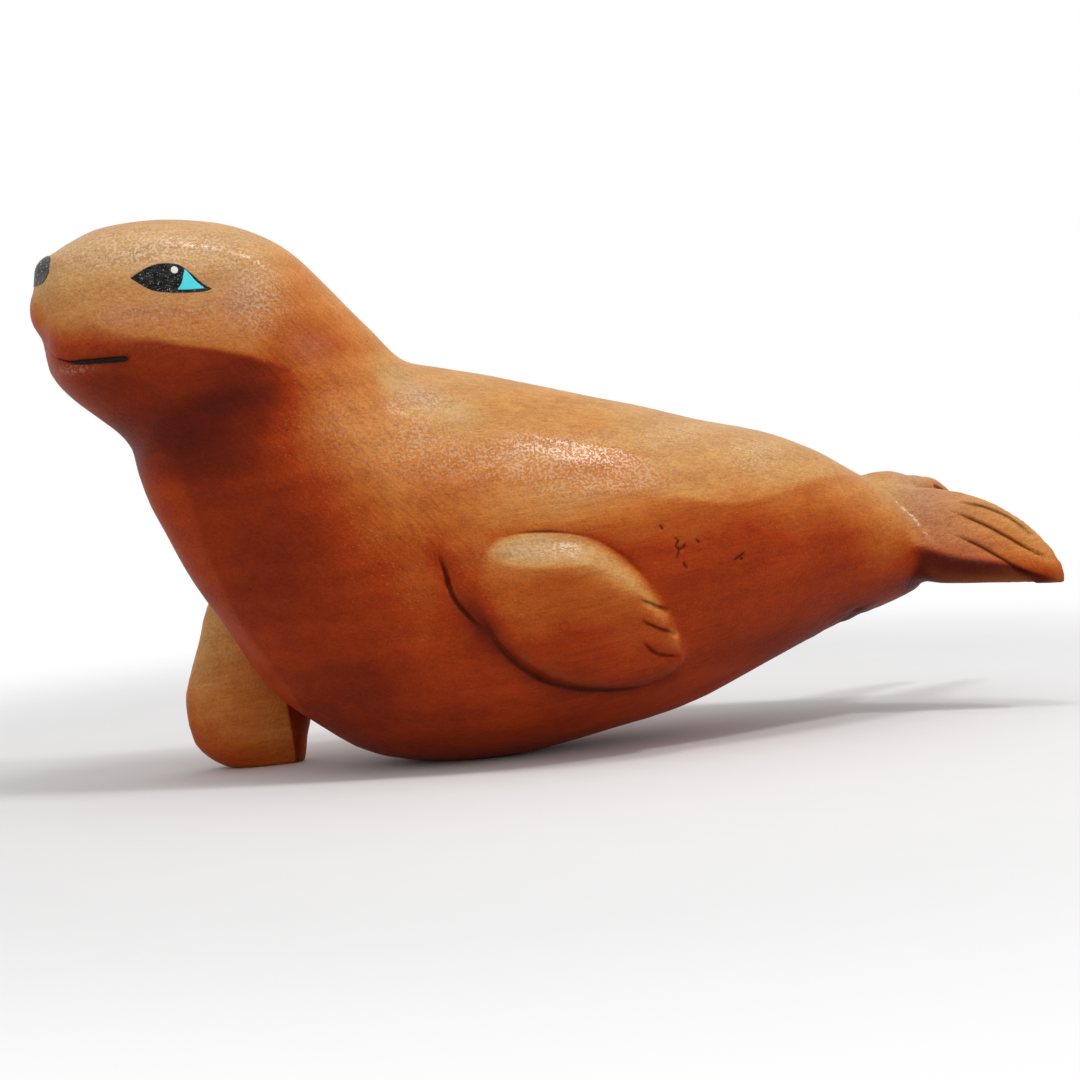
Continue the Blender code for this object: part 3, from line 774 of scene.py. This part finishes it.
class Bench:
    """Where one material is put together."""

    def __init__(self, name):
        self.material = bpy.data.materials.new(name)
        self.material.use_nodes = True
        self.tree = self.material.node_tree
        self.shader = self.tree.nodes["Principled BSDF"]
        self.place = self.node("ShaderNodeTexCoord", output="Object")

    def node(self, kind, settings=None, inputs=None, output=0, stops=None):
        """Any node: its settings and stops first, then its sockets, by name or by number."""
        made = self.tree.nodes.new(kind)
        for name, value in (settings or {}).items():
            setattr(made, name, value)
        if stops:
            ramp = made.color_ramp
            while len(ramp.elements) < len(stops):
                ramp.elements.new(0.5)
            for element, (position, colour) in zip(ramp.elements, stops):
                element.position = position
                element.color = (*colour, 1.0)
        for name, value in (inputs or {}).items():
            self.feed(made.inputs[name], value)
        return Value(self, made.outputs[output])

    def feed(self, socket, value):
        """Links a value to a socket, or sets a number or a colour on it."""
        if isinstance(value, Value):
            self.tree.links.new(value.socket, socket)
        elif socket.type == "RGBA" and len(value) == 3:
            socket.default_value = (*value, 1.0)
        else:
            socket.default_value = value

    def stretched(self, scale, turn=(0, 0, 0), shift=(0, 0, 0)):
        """The seal's own coordinates, moved and turned, then stretched."""
        turned = self.node("ShaderNodeMapping", {},
                           {"Vector": self.place, "Rotation": turn, "Location": shift})
        return self.node("ShaderNodeMapping", {}, {"Vector": turned, "Scale": scale})

    def noise(self, vector, scale, detail=2.0, rough=0.5):
        return self.node("ShaderNodeTexNoise", {},
                         {"Vector": vector, "Scale": scale, "Detail": detail, "Roughness": rough})

    def note(self, name):
        """A number that the carving keeps for each of its vertices."""
        return self.node("ShaderNodeAttribute", {"attribute_name": name}, output="Fac")

    def mix(self, share, low, high, blend="MIX"):
        """Colour low at share 0 and high at share 1, or another blend of the two."""
        return self.node("ShaderNodeMix", {"data_type": "RGBA", "blend_type": blend},
                         {0: share, 6: low, 7: high}, output=2)

    def bump(self, height, distance):
        return self.node("ShaderNodeBump", {}, {"Height": height, "Distance": distance})

    def finish(self, **sockets):
        """Feeds the shader, by socket names with spaces written as underscores."""
        for name, value in sockets.items():
            self.feed(self.shader.inputs[name.replace("_", " ")], value)
        return self.material


# Colours of painted glints and highlights: on the cuff's ledge, under the varnish's specks, and
# in pale specks on paint.
LEDGE_GLINT_COLOUR = (0.88, 0.72, 0.52)
SPECK_HIGHLIGHT = (0.86, 0.64, 0.40)
PAINT_GLINT = (0.75, 0.75, 0.75)
# Where the growth rings have their axis, in radians and metres.
RING_TURN = (0.0, 0.10, 0.06)
RING_SHIFT = (0.0, 0.03, 0.10)
# Turns of the grain, about the side axis: along the body and aslant on the neck.
GRAIN_TURN = (0.0, 0.08, 0.0)
NECK_TURN = (0.0, -0.85, 0.0)


def stained_wood(wood, foot):
    """Stained, worn and varnished wood of the whole seal."""
    bench = Bench("stained_wood")
    hollow = bench.note("hollow")
    fine = bench.note("fine_hollow")
    ink = bench.note("ink")

    # Patterns, from slow blotches down to threads of the grain.
    blotch = bench.noise(bench.place, 24.0, 3.0, 0.6)
    streak = bench.noise(bench.stretched((9.0, 48.0, 48.0), turn=(0.0, 0.12, 0.0)), 1.0, 3.0, 0.6)
    along = bench.noise(bench.stretched((60.0, 900.0, 900.0), turn=GRAIN_TURN), 1.0, 3.0, 0.65)
    aslant = bench.noise(bench.stretched((55.0, 750.0, 750.0), turn=NECK_TURN), 1.0, 3.0, 0.65)
    neck = bench.note("neck")
    fibre = along + (aslant - along) * neck
    thread = bench.noise(bench.stretched((220.0, 2600.0, 2600.0)), 1.0, 2.0, 0.6)
    peel = bench.noise(bench.place, 1250.0, 2.0, 0.65)
    bent = bench.stretched((1, 1, 1), turn=RING_TURN, shift=RING_SHIFT)
    rings = bench.node("ShaderNodeTexWave", {"wave_type": "RINGS", "rings_direction": "X",
                                             "wave_profile": "SIN"},
                       {"Vector": bent, "Scale": 30.0, "Distortion": 4.0, "Detail": 2.0,
                        "Detail Scale": 7.0, "Detail Roughness": 0.5}, output="Fac")

    # The wood's colour, from deep stain to bare wood, then greyed places; through its tint it
    # also holds painted shade on what faces down and painted light on what faces up.
    shade = bench.note("worn_and_lit") + (blotch - 0.5) * 0.30 + (streak - 0.5) * 0.26
    base = bench.node("ShaderNodeValToRGB", {}, {0: shade.clipped()}, stops=(
        (0.0, wood.deep), (0.18, wood.red), (0.36, wood.warm), (0.52, wood.orange),
        (0.68, wood.amber), (0.84, wood.pale), (1.0, wood.bare)))
    base = bench.mix((bench.note("mauve") * 0.6).clipped(), base, tuple(wood.mauve))

    # Grain and one small knot lighten and darken it.
    flattened = (1.0, 0.15, 1.0)
    middle = (np.array(KNOT) * MM + foot) * flattened
    ring = bench.node("ShaderNodeVectorMath", {"operation": "DISTANCE"},
                      {0: bench.stretched(flattened), 1: tuple(middle)},
                      output="Value") / KNOT_RADIUS
    ring = (1.0 - (ring - 1.0).maths("ABSOLUTE") * 2.5).clipped()
    grain = (rings - 0.5) * 0.12 + (fibre - 0.5) * (neck * 0.25 + 0.66) + (thread - 0.5) * 0.34
    grain = grain + (peel - 0.5) * 0.65 - ring * 0.25
    base = bench.mix(1.0, base, bench.node("ShaderNodeCombineColor", {}, {
        0: 1.0 + grain * 0.8, 1: 1.0 + grain * 1.2, 2: 1.0 + grain * 1.3}), "MULTIPLY")

    # Hollows are drawn darker, each cut gets a dark line of stain and painted shade, and edges
    # are rubbed paler.
    hollow_darkening = (hollow * 0.25 + fine * 0.9 + (blotch - 0.5) * 0.3).ramp(0.15, 1.2)
    base = bench.mix(hollow_darkening * 0.6, base, tuple(wood.dark))
    ragged = (ink + (thread - 0.5) * 0.3).ramp(0.15, 1.0)
    base = bench.mix(ragged * 0.78, base, tuple(wood.dark))
    rubbed = (hollow * -0.5 + fine * -1.6 + (streak - 0.5) * 0.5).ramp(0.15, 1.2)
    base = bench.mix(rubbed * 0.3, base, tuple(wood.amber))

    # Painted glints in dashes on the cuff's ledge, and pale specks drawn as painted glints on all
    # but the deepest stain.
    dashes = bench.noise(bench.place, 620.0, 2.0, 0.6).ramp(0.50, 0.56)
    base = bench.mix(bench.note("glint").ramp(0.25, 0.75) * dashes, base, LEDGE_GLINT_COLOUR)
    glint_flecks = bench.noise(bench.stretched((900.0, 1700.0, 1700.0), turn=(0.0, -0.5, 0.0)), 1.0,
                         2.0, 0.6).ramp(0.60, 0.72)
    lit = shade.ramp(0.16, 0.5)
    base = bench.mix((glint_flecks * lit * (neck * 0.5 + 0.25)).clipped(), base, tuple(wood.amber))

    # Varnish lies in specks, with a pale painted highlight drawn into the colour under each.
    varnish = bench.note("varnish")
    specks = bench.noise(bench.place, 1150.0, 1.0, 0.5).ramp(0.46, 0.62)
    coat = (varnish * specks * 1.6 + varnish * 0.12 + glint_flecks * lit * 0.15 + 0.04).clipped()
    base = bench.mix((varnish * specks * 0.26).clipped(), base, SPECK_HIGHLIGHT)

    relief = peel + fibre * 0.9 + thread * 0.3 + glint_flecks * 0.25 - ink * 0.5
    normal = bench.bump(relief, 0.36 * MM)
    rough = (wood.varnish + 0.15 + (blotch - 0.5) * 0.2 + (peel - 0.5) * 0.2).clipped()
    shader = bench.shader.inputs
    shader["Specular IOR Level"].default_value = 0.07
    shader["Coat IOR"].default_value = 1.6
    shader["Coat Roughness"].default_value = wood.varnish
    return bench.finish(Base_Color=base, Roughness=rough, Normal=normal, Coat_Weight=coat)


def paint(name, colour, speck, rough, brushed=0.25):
    """Enamel with brush marks: speck is how many pale specks, painted glints, it shows, and
    brushed how thin its marks are.
    """
    bench = Bench(name)
    brush = bench.noise(bench.stretched((350.0, 900.0, 900.0)), 1.0, 3.0, 0.6)
    speck_noise = bench.noise(bench.place, 1900.0, 1.0, 0.5)
    spots = speck_noise.ramp(0.63, 0.72) * speck
    thin = tuple(0.5 + 0.5 * share for share in colour)
    base = bench.mix((brush - 0.42).clipped() * brushed, colour, thin)
    base = bench.mix(spots, base, PAINT_GLINT)
    normal = bench.bump(brush * 0.6 + speck_noise * 0.5, 0.12 * MM)
    bench.shader.inputs["Specular IOR Level"].default_value = 0.10
    return bench.finish(Base_Color=base, Roughness=(brush - 0.5) * 0.2 + rough, Normal=normal)


def shown_white(tree):
    """1 for the rays that show a backdrop: from the camera, in gloss and through glass."""
    rays = tree.nodes.new("ShaderNodeLightPath")
    total = rays.outputs["Is Camera Ray"]
    for name in ("Is Glossy Ray", "Is Transmission Ray"):
        add = tree.nodes.new("ShaderNodeMath")
        add.operation = "ADD"
        add.use_clamp = True
        tree.links.new(total, add.inputs[0])
        tree.links.new(rays.outputs[name], add.inputs[1])
        total = add.outputs[0]
    return total


# The floor: its colours where it is seen, the warmer grey that it gives to the seal from
# below, and the distances from the middle at which it starts to turn white and is white.
FLOOR_SEEN = ((0.90, 0.90, 0.90), (0.92, 0.92, 0.92))
FLOOR_FELT = (0.70, 0.68, 0.65)
FLOOR_FADE = (0.26, 0.48)


def pale_floor():
    """A pale floor that keeps the seal's shadow and runs out into white."""
    bench = Bench("pale_floor")
    tree = bench.tree
    away = bench.node("ShaderNodeVectorMath", {"operation": "LENGTH"}, {0: bench.place},
                      output="Value")
    mottle = bench.noise(bench.place, 40.0, 2.0, 0.5)
    seen = Value(bench, shown_white(tree))
    pale = bench.mix(mottle, *FLOOR_SEEN)
    bench.finish(Base_Color=bench.mix(seen, FLOOR_FELT, pale), Roughness=0.9)
    bench.shader.inputs["Specular IOR Level"].default_value = 0.0
    glow = tree.nodes.new("ShaderNodeEmission")
    blend = tree.nodes.new("ShaderNodeMixShader")
    bench.feed(blend.inputs[0], away.ramp(*FLOOR_FADE) * seen)
    tree.links.new(bench.shader.outputs[0], blend.inputs[1])
    tree.links.new(glow.outputs[0], blend.inputs[2])
    tree.links.new(blend.outputs[0], tree.nodes["Material Output"].inputs["Surface"])
    return bench.material


# Paint films and strokes.

def tree_of(mesh):
    """The carved surface as it is felt by a brush."""
    corners = [vertex.co[:] for vertex in mesh.vertices]
    return BVHTree.FromPolygons(corners, [face.vertices[:] for face in mesh.polygons])


def touch(tree, foot, start, aim):
    """Where a straight line from start to aim, both on the seal, meets the wood."""
    start = Vector(np.array(start) * MM + foot)
    aim = Vector(np.array(aim) * MM + foot)
    place, normal, _, _ = tree.ray_cast(start, (aim - start).normalized())
    if place is None:
        raise RuntimeError("a brush place misses the seal")
    return place, normal


# Rows of a film of paint: how far out each lies, and its share of the film's height. The
# film's under side lies this deep in the wood.
FILM_ROWS = ((0, 1), (0.25, 1), (0.5, 1), (0.72, 1), (0.88, 1), (0.955, 0.95), (0.985, 0.7),
             (1, -0.35))
FILM_DEPTH = 0.5 * MM
# How much higher than the black the blue and the dot of the eye stand, and the nose's paint.
BLUE_LIFT = 1.8
DOT_LIFT = 2.6
NOSE_LIFT = 1.5
# Where a brush starts from: clear of the head's side, and of the nose, and where it aims.
BRUSH_SIDE = 80
BRUSH_FRONT = -30
NOSE_AIM = 22


def film(work, tree, foot, rim, start_of, aim_of, proud):
    """Adds one closed film of paint: rows from its middle out to a rim set in the wood."""
    middle = rim.mean(axis=0)
    rings = len(FILM_ROWS) - 1
    top = []
    under = []
    for ring, (share, height) in enumerate(FILM_ROWS):
        lift = proud * height
        row_top = []
        row_under = []
        for corner in (rim if ring else rim[:1]):
            spot = middle + (corner - middle) * share
            place, normal = touch(tree, foot, start_of(spot), aim_of(spot))
            row_top.append(work.verts.new(place + normal * lift))
            if ring < rings:
                row_under.append(work.verts.new(place - normal * FILM_DEPTH))
        top.append(row_top)
        under.append(row_under if ring < rings else row_top)
    count = len(rim)
    for rows in (top, under):
        for ring in range(rings):
            for index in range(count):
                following = (index + 1) % count
                if ring == 0:
                    corners = (rows[0][0], rows[1][index], rows[1][following])
                else:
                    corners = (rows[ring][index], rows[ring + 1][index],
                               rows[ring + 1][following], rows[ring][following])
                work.faces.new(corners)


def finished(work, name, material):
    """Makes the piece, faces outwards and smooth, and lets it ride with the seal."""
    bmesh.ops.recalc_face_normals(work, faces=work.faces)
    mesh = bpy.data.meshes.new(name)
    work.to_mesh(mesh)
    work.free()
    mesh.shade_smooth()
    mesh.materials.append(material)
    piece = bpy.data.objects.new(name, mesh)
    bpy.context.collection.objects.link(piece)
    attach(piece, BODY)
    return piece


def painted(name, runs, material, proud, steps=5):
    """A painted shape on both sides of the head."""
    foot = foot_of_frame()
    tree = tree_of(bpy.data.objects[CARVING].data)
    rim = np.vstack([bend(run, steps)[:-1] for run in runs])
    work = bmesh.new()
    for sign in (-1, 1):
        film(work, tree, foot, rim,
             lambda spot: (spot[0], sign * BRUSH_SIDE, spot[1]),
             lambda spot: (spot[0], 0, spot[1]), proud)
    return finished(work, name, material)


def stroke_group():
    """Geometry Nodes: a brush stroke of paint along a path, as wide as each point's radius."""
    group = bpy.data.node_groups.new("brush_stroke", "GeometryNodeTree")
    sockets = {}
    for name, kind, way in (("Geometry", "NodeSocketGeometry", "INPUT"),
                            ("Sides", "NodeSocketInt", "INPUT"),
                            ("Paint", "NodeSocketMaterial", "INPUT"),
                            ("Geometry", "NodeSocketGeometry", "OUTPUT")):
        sockets[name, way] = group.interface.new_socket(name, in_out=way, socket_type=kind)
    nodes = group.nodes
    start = nodes.new("NodeGroupInput")
    end = nodes.new("NodeGroupOutput")
    round_profile = nodes.new("GeometryNodeCurvePrimitiveCircle")
    round_profile.inputs["Radius"].default_value = 1.0
    skin = nodes.new("GeometryNodeCurveToMesh")
    skin.inputs["Fill Caps"].default_value = True
    smooth = nodes.new("GeometryNodeSetShadeSmooth")
    real = nodes.new("GeometryNodeRealizeInstances")
    colour = nodes.new("GeometryNodeSetMaterial")
    link = group.links.new
    link(start.outputs["Geometry"], skin.inputs["Curve"])
    link(start.outputs["Sides"], round_profile.inputs["Resolution"])
    link(round_profile.outputs["Curve"], skin.inputs["Profile Curve"])
    radius = nodes.new("GeometryNodeInputRadius")
    link(radius.outputs[0], skin.inputs["Scale"])
    link(skin.outputs["Mesh"], smooth.inputs["Geometry"])
    link(smooth.outputs[0], real.inputs[0])
    link(real.outputs[0], colour.inputs["Geometry"])
    link(start.outputs["Paint"], colour.inputs["Material"])
    link(colour.outputs[0], end.inputs[0])
    return group, sockets["Sides", "INPUT"].identifier, sockets["Paint", "INPUT"].identifier


# Operators.

class SEAL_OT_carve(bpy.types.Operator):
    """Carves the whole wooden seal: planes, shelves, cuts, tool marks, stain and painted light
    and shade
    """
    bl_idname = "seal.carve"
    bl_label = "Carve the seal"

    def execute(self, context):
        sizes = context.scene.seal_carving
        foot = foot_of_frame()
        piece = remeshed(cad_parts[NODE], sizes.grain)
        mouth = mouth_places(tree_of(piece.data), foot)
        surface = Surface(piece.data, foot)
        keep = 0.35 * hump(cut_distance(surface.points, mouth), 2.4)
        surface.sand(sizes.sanding, keep)
        surface.write()
        for cut_reach, edge_reach in SPLIT_REACHES:
            close = cut_distance(surface.points, mouth) < cut_reach
            close |= edge_distance(surface.points) < edge_reach
            split_near(piece.data, close)
            surface.read()
        surface.mesh.update()
        normals = surface.normals()
        rise = surface.eased(normals, RISE_ROUNDS)[:, 2]
        moves = carve_moves(surface.points, normals, sizes, mouth)
        surface.points += moves[:, None] * normals
        # Nothing reaches below the table.
        surface.points[:, 2] = np.maximum(surface.points[:, 2], 0.0)
        surface.write()

        normals = surface.normals()
        wide = surface.eased(surface.points, PALM_ROUNDS)
        tight = surface.eased(surface.points, NAIL_ROUNDS)
        surface.note("hollow", ((wide - surface.points) * normals).sum(axis=1))
        surface.note("fine_hollow", ((tight - surface.points) * normals).sum(axis=1))
        surface.note("worn_and_lit", paleness_with_painted_light(surface.points, rise))
        surface.note("ink", stain_and_shade_in_cuts(surface.points))
        greyed = open_ends(surface.points[:, 0], (298, 308), (316, 336))
        greyed *= soft_step(near_line(from_side(surface.points), HIND_FACET)[1], -2.0, 1.0)
        surface.note("mauve", 0.5 * greyed + patches(surface.points, GREYED_PATCHES))
        shown = np.where(surface.points[:, 1] > 0, soft_step(surface.points[:, 2], 80, 95), 1.0)
        surface.note("varnish", shown * patches(surface.points, VARNISH_AND_HIGHLIGHT_PATCHES))
        surface.note("glint", ledge_glint(surface.points))
        distance, _, _ = near_line(from_side(surface.points), NECK_RIDGE)
        surface.note("neck", hump(distance, 34.0))

        piece.data.shade_smooth()
        piece.data.materials.clear()
        piece.data.materials.append(stained_wood(context.scene.seal_wood, foot))
        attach(piece, BODY)
        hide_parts(NODE)
        return {"FINISHED"}


class SEAL_OT_eyes(bpy.types.Operator):
    """Paints both eyes: a black almond, a blue iris and a white dot"""
    bl_idname = "seal.eyes"
    bl_label = "Paint the eyes"

    def execute(self, context):
        colours = context.scene.seal_paint
        painted("eye_black", EYE, paint("black_enamel", tuple(colours.black), 0.45, 0.3),
                colours.film)
        painted("eye_blue", IRIS, paint("blue_enamel", tuple(colours.blue), 0.0, 0.35),
                colours.film * BLUE_LIFT)
        turn = np.linspace(0.0, 2.0 * math.pi, GLINT_CORNERS + 1)
        ring = [(GLINT_CENTRE[0] + 0.5 * GLINT_WIDTH * math.cos(angle),
                 GLINT_CENTRE[1] + 0.5 * GLINT_WIDTH * math.sin(angle)) for angle in turn]
        painted("eye_dot", (ring,), paint("white_enamel", tuple(colours.white), 0.0, 0.35),
                colours.film * DOT_LIFT, steps=3)
        return {"FINISHED"}


class SEAL_OT_nose(bpy.types.Operator):
    """Paints the dark pad of the nose"""
    bl_idname = "seal.nose"
    bl_label = "Paint the nose"

    def execute(self, context):
        colours = context.scene.seal_paint
        foot = foot_of_frame()
        tree = tree_of(bpy.data.objects[CARVING].data)
        half = bend(NOSE_PAD[0], 4)
        rim = np.vstack((half[:-1], half[::-1][:-1] * (-1, 1)))
        work = bmesh.new()
        film(work, tree, foot, rim,
             lambda spot: (BRUSH_FRONT, spot[0], spot[1]),
             lambda spot: (NOSE_AIM, spot[0], spot[1]), colours.film * NOSE_LIFT)
        finished(work, "nose_paint", paint("grey_enamel", tuple(colours.nose), 0.8, 0.4))
        return {"FINISHED"}


class SEAL_OT_mouth(bpy.types.Operator):
    """Paints a black stroke in the cut of the mouth on each side"""
    bl_idname = "seal.mouth"
    bl_label = "Paint the mouth"

    # How far before the paint's start a stroke begins, as a share of the way from the front to
    # a corner, the share of its width at its two ends, and how far it stands out of the cut.
    LEAD_IN = 0.06
    END_SHARE = 0.75
    PROUD = 0.1 * MM

    def execute(self, context):
        colours = context.scene.seal_paint
        foot = foot_of_frame()
        tree = tree_of(bpy.data.objects[CARVING].data)
        places = mouth_places(tree, foot)
        shares = np.linspace(0.0, 1.0, len(places))
        curve = bpy.data.curves.new("mouth_path", "CURVE")
        curve.dimensions = "3D"
        axis = np.array((MOUTH_AXIS, 0.0, MOUTH_HEIGHTS[1]))
        for side in (shares < 0.5, shares > 0.5):
            inked = side & (np.abs(2.0 * shares - 1.0) > MOUTH_PAINT[0] - self.LEAD_IN)
            line = places[inked]
            opened = mouth_width(shares[inked])
            spline = curve.splines.new("POLY")
            spline.points.add(len(line) - 1)
            for index, (spot, width) in enumerate(zip(line, opened)):
                radius = 0.5 * colours.mouth * (0.25 + 0.75 * width)
                if index in (0, len(line) - 1):
                    radius *= self.END_SHARE
                out = (spot - axis) * (1.0, 1.0, 0.0)
                out /= np.linalg.norm(out)
                spot = spot * MM + foot + out * self.PROUD
                spline.points[index].co = (*spot, 1.0)
                spline.points[index].radius = radius
        piece = bpy.data.objects.new("mouth_path", curve)
        context.collection.objects.link(piece)
        group, sides, colour = stroke_group()
        stroke = piece.modifiers.new("stroke", "NODES")
        stroke.node_group = group
        stroke[sides] = colours.sides
        stroke[colour] = paint("mouth_enamel", tuple(colours.black), 0.05, 0.5, brushed=0.06)
        view = context.evaluated_depsgraph_get()
        mesh = bpy.data.meshes.new_from_object(piece.evaluated_get(view))
        bpy.data.objects.remove(piece)
        work = bmesh.new()
        work.from_mesh(mesh)
        material = mesh.materials[0]
        bpy.data.meshes.remove(mesh)
        finished(work, "mouth_paint", material)
        return {"FINISHED"}


class SEAL_OT_stage(bpy.types.Operator):
    """Sets the pale floor, the soft lamps and the camera"""
    bl_idname = "seal.stage"
    bl_label = "Set the stage"

    FLOOR_SIDES = 96
    # How far under the seal the floor lies, so that the two don't flicker.
    FLOOR_GAP = 0.05 * MM
    # Lamps: where each hangs, what it points at and how wide it is, in metres.
    WIDE_LAMP = ((0.02, -0.16, 1.05), (0.0, 0.0, 0.08), 0.9)
    SMALL_LAMPS = {"front_lamp": ((0.02, -0.26, 1.12), (0.0, 0.0, 0.1), 0.22),
                   "rear_lamp": ((0.42, -0.40, 0.92), (0.0, 0.0, 0.1), 0.13)}
    # The photograph's camera: its angles, what it looks at, the picture's width in pixels, the
    # size of a pixel at the seal and the shift of the picture in pixels.
    AZIMUTH = math.radians(-15)
    ELEVATION = math.radians(3)
    ROLL = math.radians(-4)
    MIDDLE = (0.173, 0.089)
    FRAME = 1080
    PIXEL = 0.35 * MM
    SHIFT = (-7, -45.5)
    SENSOR = 36.0
    NEAREST = 0.01

    def floor(self, context, sizes):
        """A round floor under the seal."""
        work = bmesh.new()
        bmesh.ops.create_circle(work, cap_ends=True, radius=sizes.floor,
                                segments=self.FLOOR_SIDES)
        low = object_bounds()[0]
        mesh = bpy.data.meshes.new("floor")
        bmesh.ops.translate(work, verts=work.verts, vec=(0, 0, low[2] - self.FLOOR_GAP))
        work.to_mesh(mesh)
        work.free()
        mesh.materials.append(pale_floor())
        floor = bpy.data.objects.new("floor", mesh)
        context.collection.objects.link(floor)
        floor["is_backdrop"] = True

    def lamp(self, context, name, place, aim, width, power):
        light = bpy.data.lights.new(name, "AREA")
        light.shape = "DISK"
        light.size = width
        light.energy = power
        lamp = bpy.data.objects.new(name, light)
        context.collection.objects.link(lamp)
        lamp.location = place
        lamp.rotation_euler = (Vector(aim) - Vector(place)).to_track_quat("-Z", "Y").to_euler()

    def world(self, context, sizes):
        """A soft room whose walls are a little brighter than its ceiling, shown as white."""
        world = bpy.data.worlds.new("white_room")
        context.scene.world = world
        world.use_nodes = True
        tree = world.node_tree
        back = tree.nodes["Background"]
        white = tree.nodes.new("ShaderNodeBackground")
        blend = tree.nodes.new("ShaderNodeMixShader")
        back.inputs["Color"].default_value = (1, 1, 1, 1)
        way = tree.nodes.new("ShaderNodeTexCoord")
        parts = tree.nodes.new("ShaderNodeSeparateXYZ")
        rise = tree.nodes.new("ShaderNodeMapRange")
        rise.inputs["To Min"].default_value = sizes.walls
        rise.inputs["To Max"].default_value = sizes.sky
        tree.links.new(way.outputs["Generated"], parts.inputs[0])
        tree.links.new(parts.outputs["Z"], rise.inputs["Value"])
        tree.links.new(rise.outputs[0], back.inputs["Strength"])
        white.inputs["Color"].default_value = (1, 1, 1, 1)
        white.inputs["Strength"].default_value = 1.0
        tree.links.new(shown_white(tree), blend.inputs[0])
        tree.links.new(back.outputs[0], blend.inputs[1])
        tree.links.new(white.outputs[0], blend.inputs[2])
        tree.links.new(blend.outputs[0], tree.nodes["World Output"].inputs["Surface"])

    def camera(self, context, sizes):
        """The photograph's view, rolled a little to the side."""
        target = Vector((CAD_BOX[0][0] + self.MIDDLE[0], 0.0, self.MIDDLE[1]))
        away = Vector((math.sin(self.AZIMUTH) * math.cos(self.ELEVATION),
                       -math.cos(self.AZIMUTH) * math.cos(self.ELEVATION),
                       math.sin(self.ELEVATION)))
        level = (-away).cross(Vector((0, 0, 1))).normalized()
        rise = level.cross(-away)
        right = level * math.cos(self.ROLL) + rise * math.sin(self.ROLL)
        upward = rise * math.cos(self.ROLL) - level * math.sin(self.ROLL)
        lens = bpy.data.cameras.new("photo_view")
        lens.sensor_width = self.SENSOR
        lens.lens = self.SENSOR * sizes.away / (self.FRAME * self.PIXEL)
        lens.shift_x = self.SHIFT[0] / self.FRAME
        lens.shift_y = self.SHIFT[1] / self.FRAME
        lens.clip_start = self.NEAREST
        camera = bpy.data.objects.new("photo_view", lens)
        context.collection.objects.link(camera)
        turn = Matrix((right, upward, away)).transposed().to_4x4()
        camera.matrix_world = Matrix.Translation(target + away * sizes.away) @ turn
        context.scene.camera = camera

    def execute(self, context):
        sizes = context.scene.seal_stage
        self.floor(context, sizes)
        self.world(context, sizes)
        self.lamp(context, "wide_lamp", *self.WIDE_LAMP, sizes.lamp)
        for name, settings in self.SMALL_LAMPS.items():
            self.lamp(context, name, *settings, sizes.spark)
        self.camera(context, sizes)
        context.scene.view_settings.view_transform = "Standard"
        return {"FINISHED"}


class SEAL_PT_pieces(bpy.types.Panel):
    """The pieces of the seal, in the order they are made"""
    bl_idname = "SEAL_PT_pieces"
    bl_label = "Carved seal"
    bl_space_type = "VIEW_3D"
    bl_region_type = "UI"
    bl_category = "Seal"

    def draw(self, context):
        for name, operators in (("seal_carving", ("seal.carve",)),
                                ("seal_wood", ()),
                                ("seal_paint", ("seal.eyes", "seal.nose", "seal.mouth")),
                                ("seal_stage", ("seal.stage",))):
            box = self.layout.box()
            group = getattr(context.scene, name)
            for key in group.__annotations__:
                box.prop(group, key)
            for operator in operators:
                box.operator(operator)


GROUPS = {"seal_carving": SealCarvingSizes, "seal_wood": SealWoodColours, "seal_paint": SealPaint,
          "seal_stage": SealStageSizes}
CLASSES = (*GROUPS.values(), SEAL_OT_carve, SEAL_OT_eyes, SEAL_OT_nose, SEAL_OT_mouth,
           SEAL_OT_stage, SEAL_PT_pieces)


def register():
    for item in CLASSES:
        bpy.utils.register_class(item)
    for name, group in GROUPS.items():
        setattr(bpy.types.Scene, name, PointerProperty(type=group))


def unregister():
    for name in GROUPS:
        delattr(bpy.types.Scene, name)
    for item in reversed(CLASSES):
        bpy.utils.unregister_class(item)


def main():
    register()
    bpy.ops.seal.carve()
    bpy.ops.seal.eyes()
    bpy.ops.seal.nose()
    bpy.ops.seal.mouth()
    bpy.ops.seal.stage()


if __name__ == "__main__":
    main()
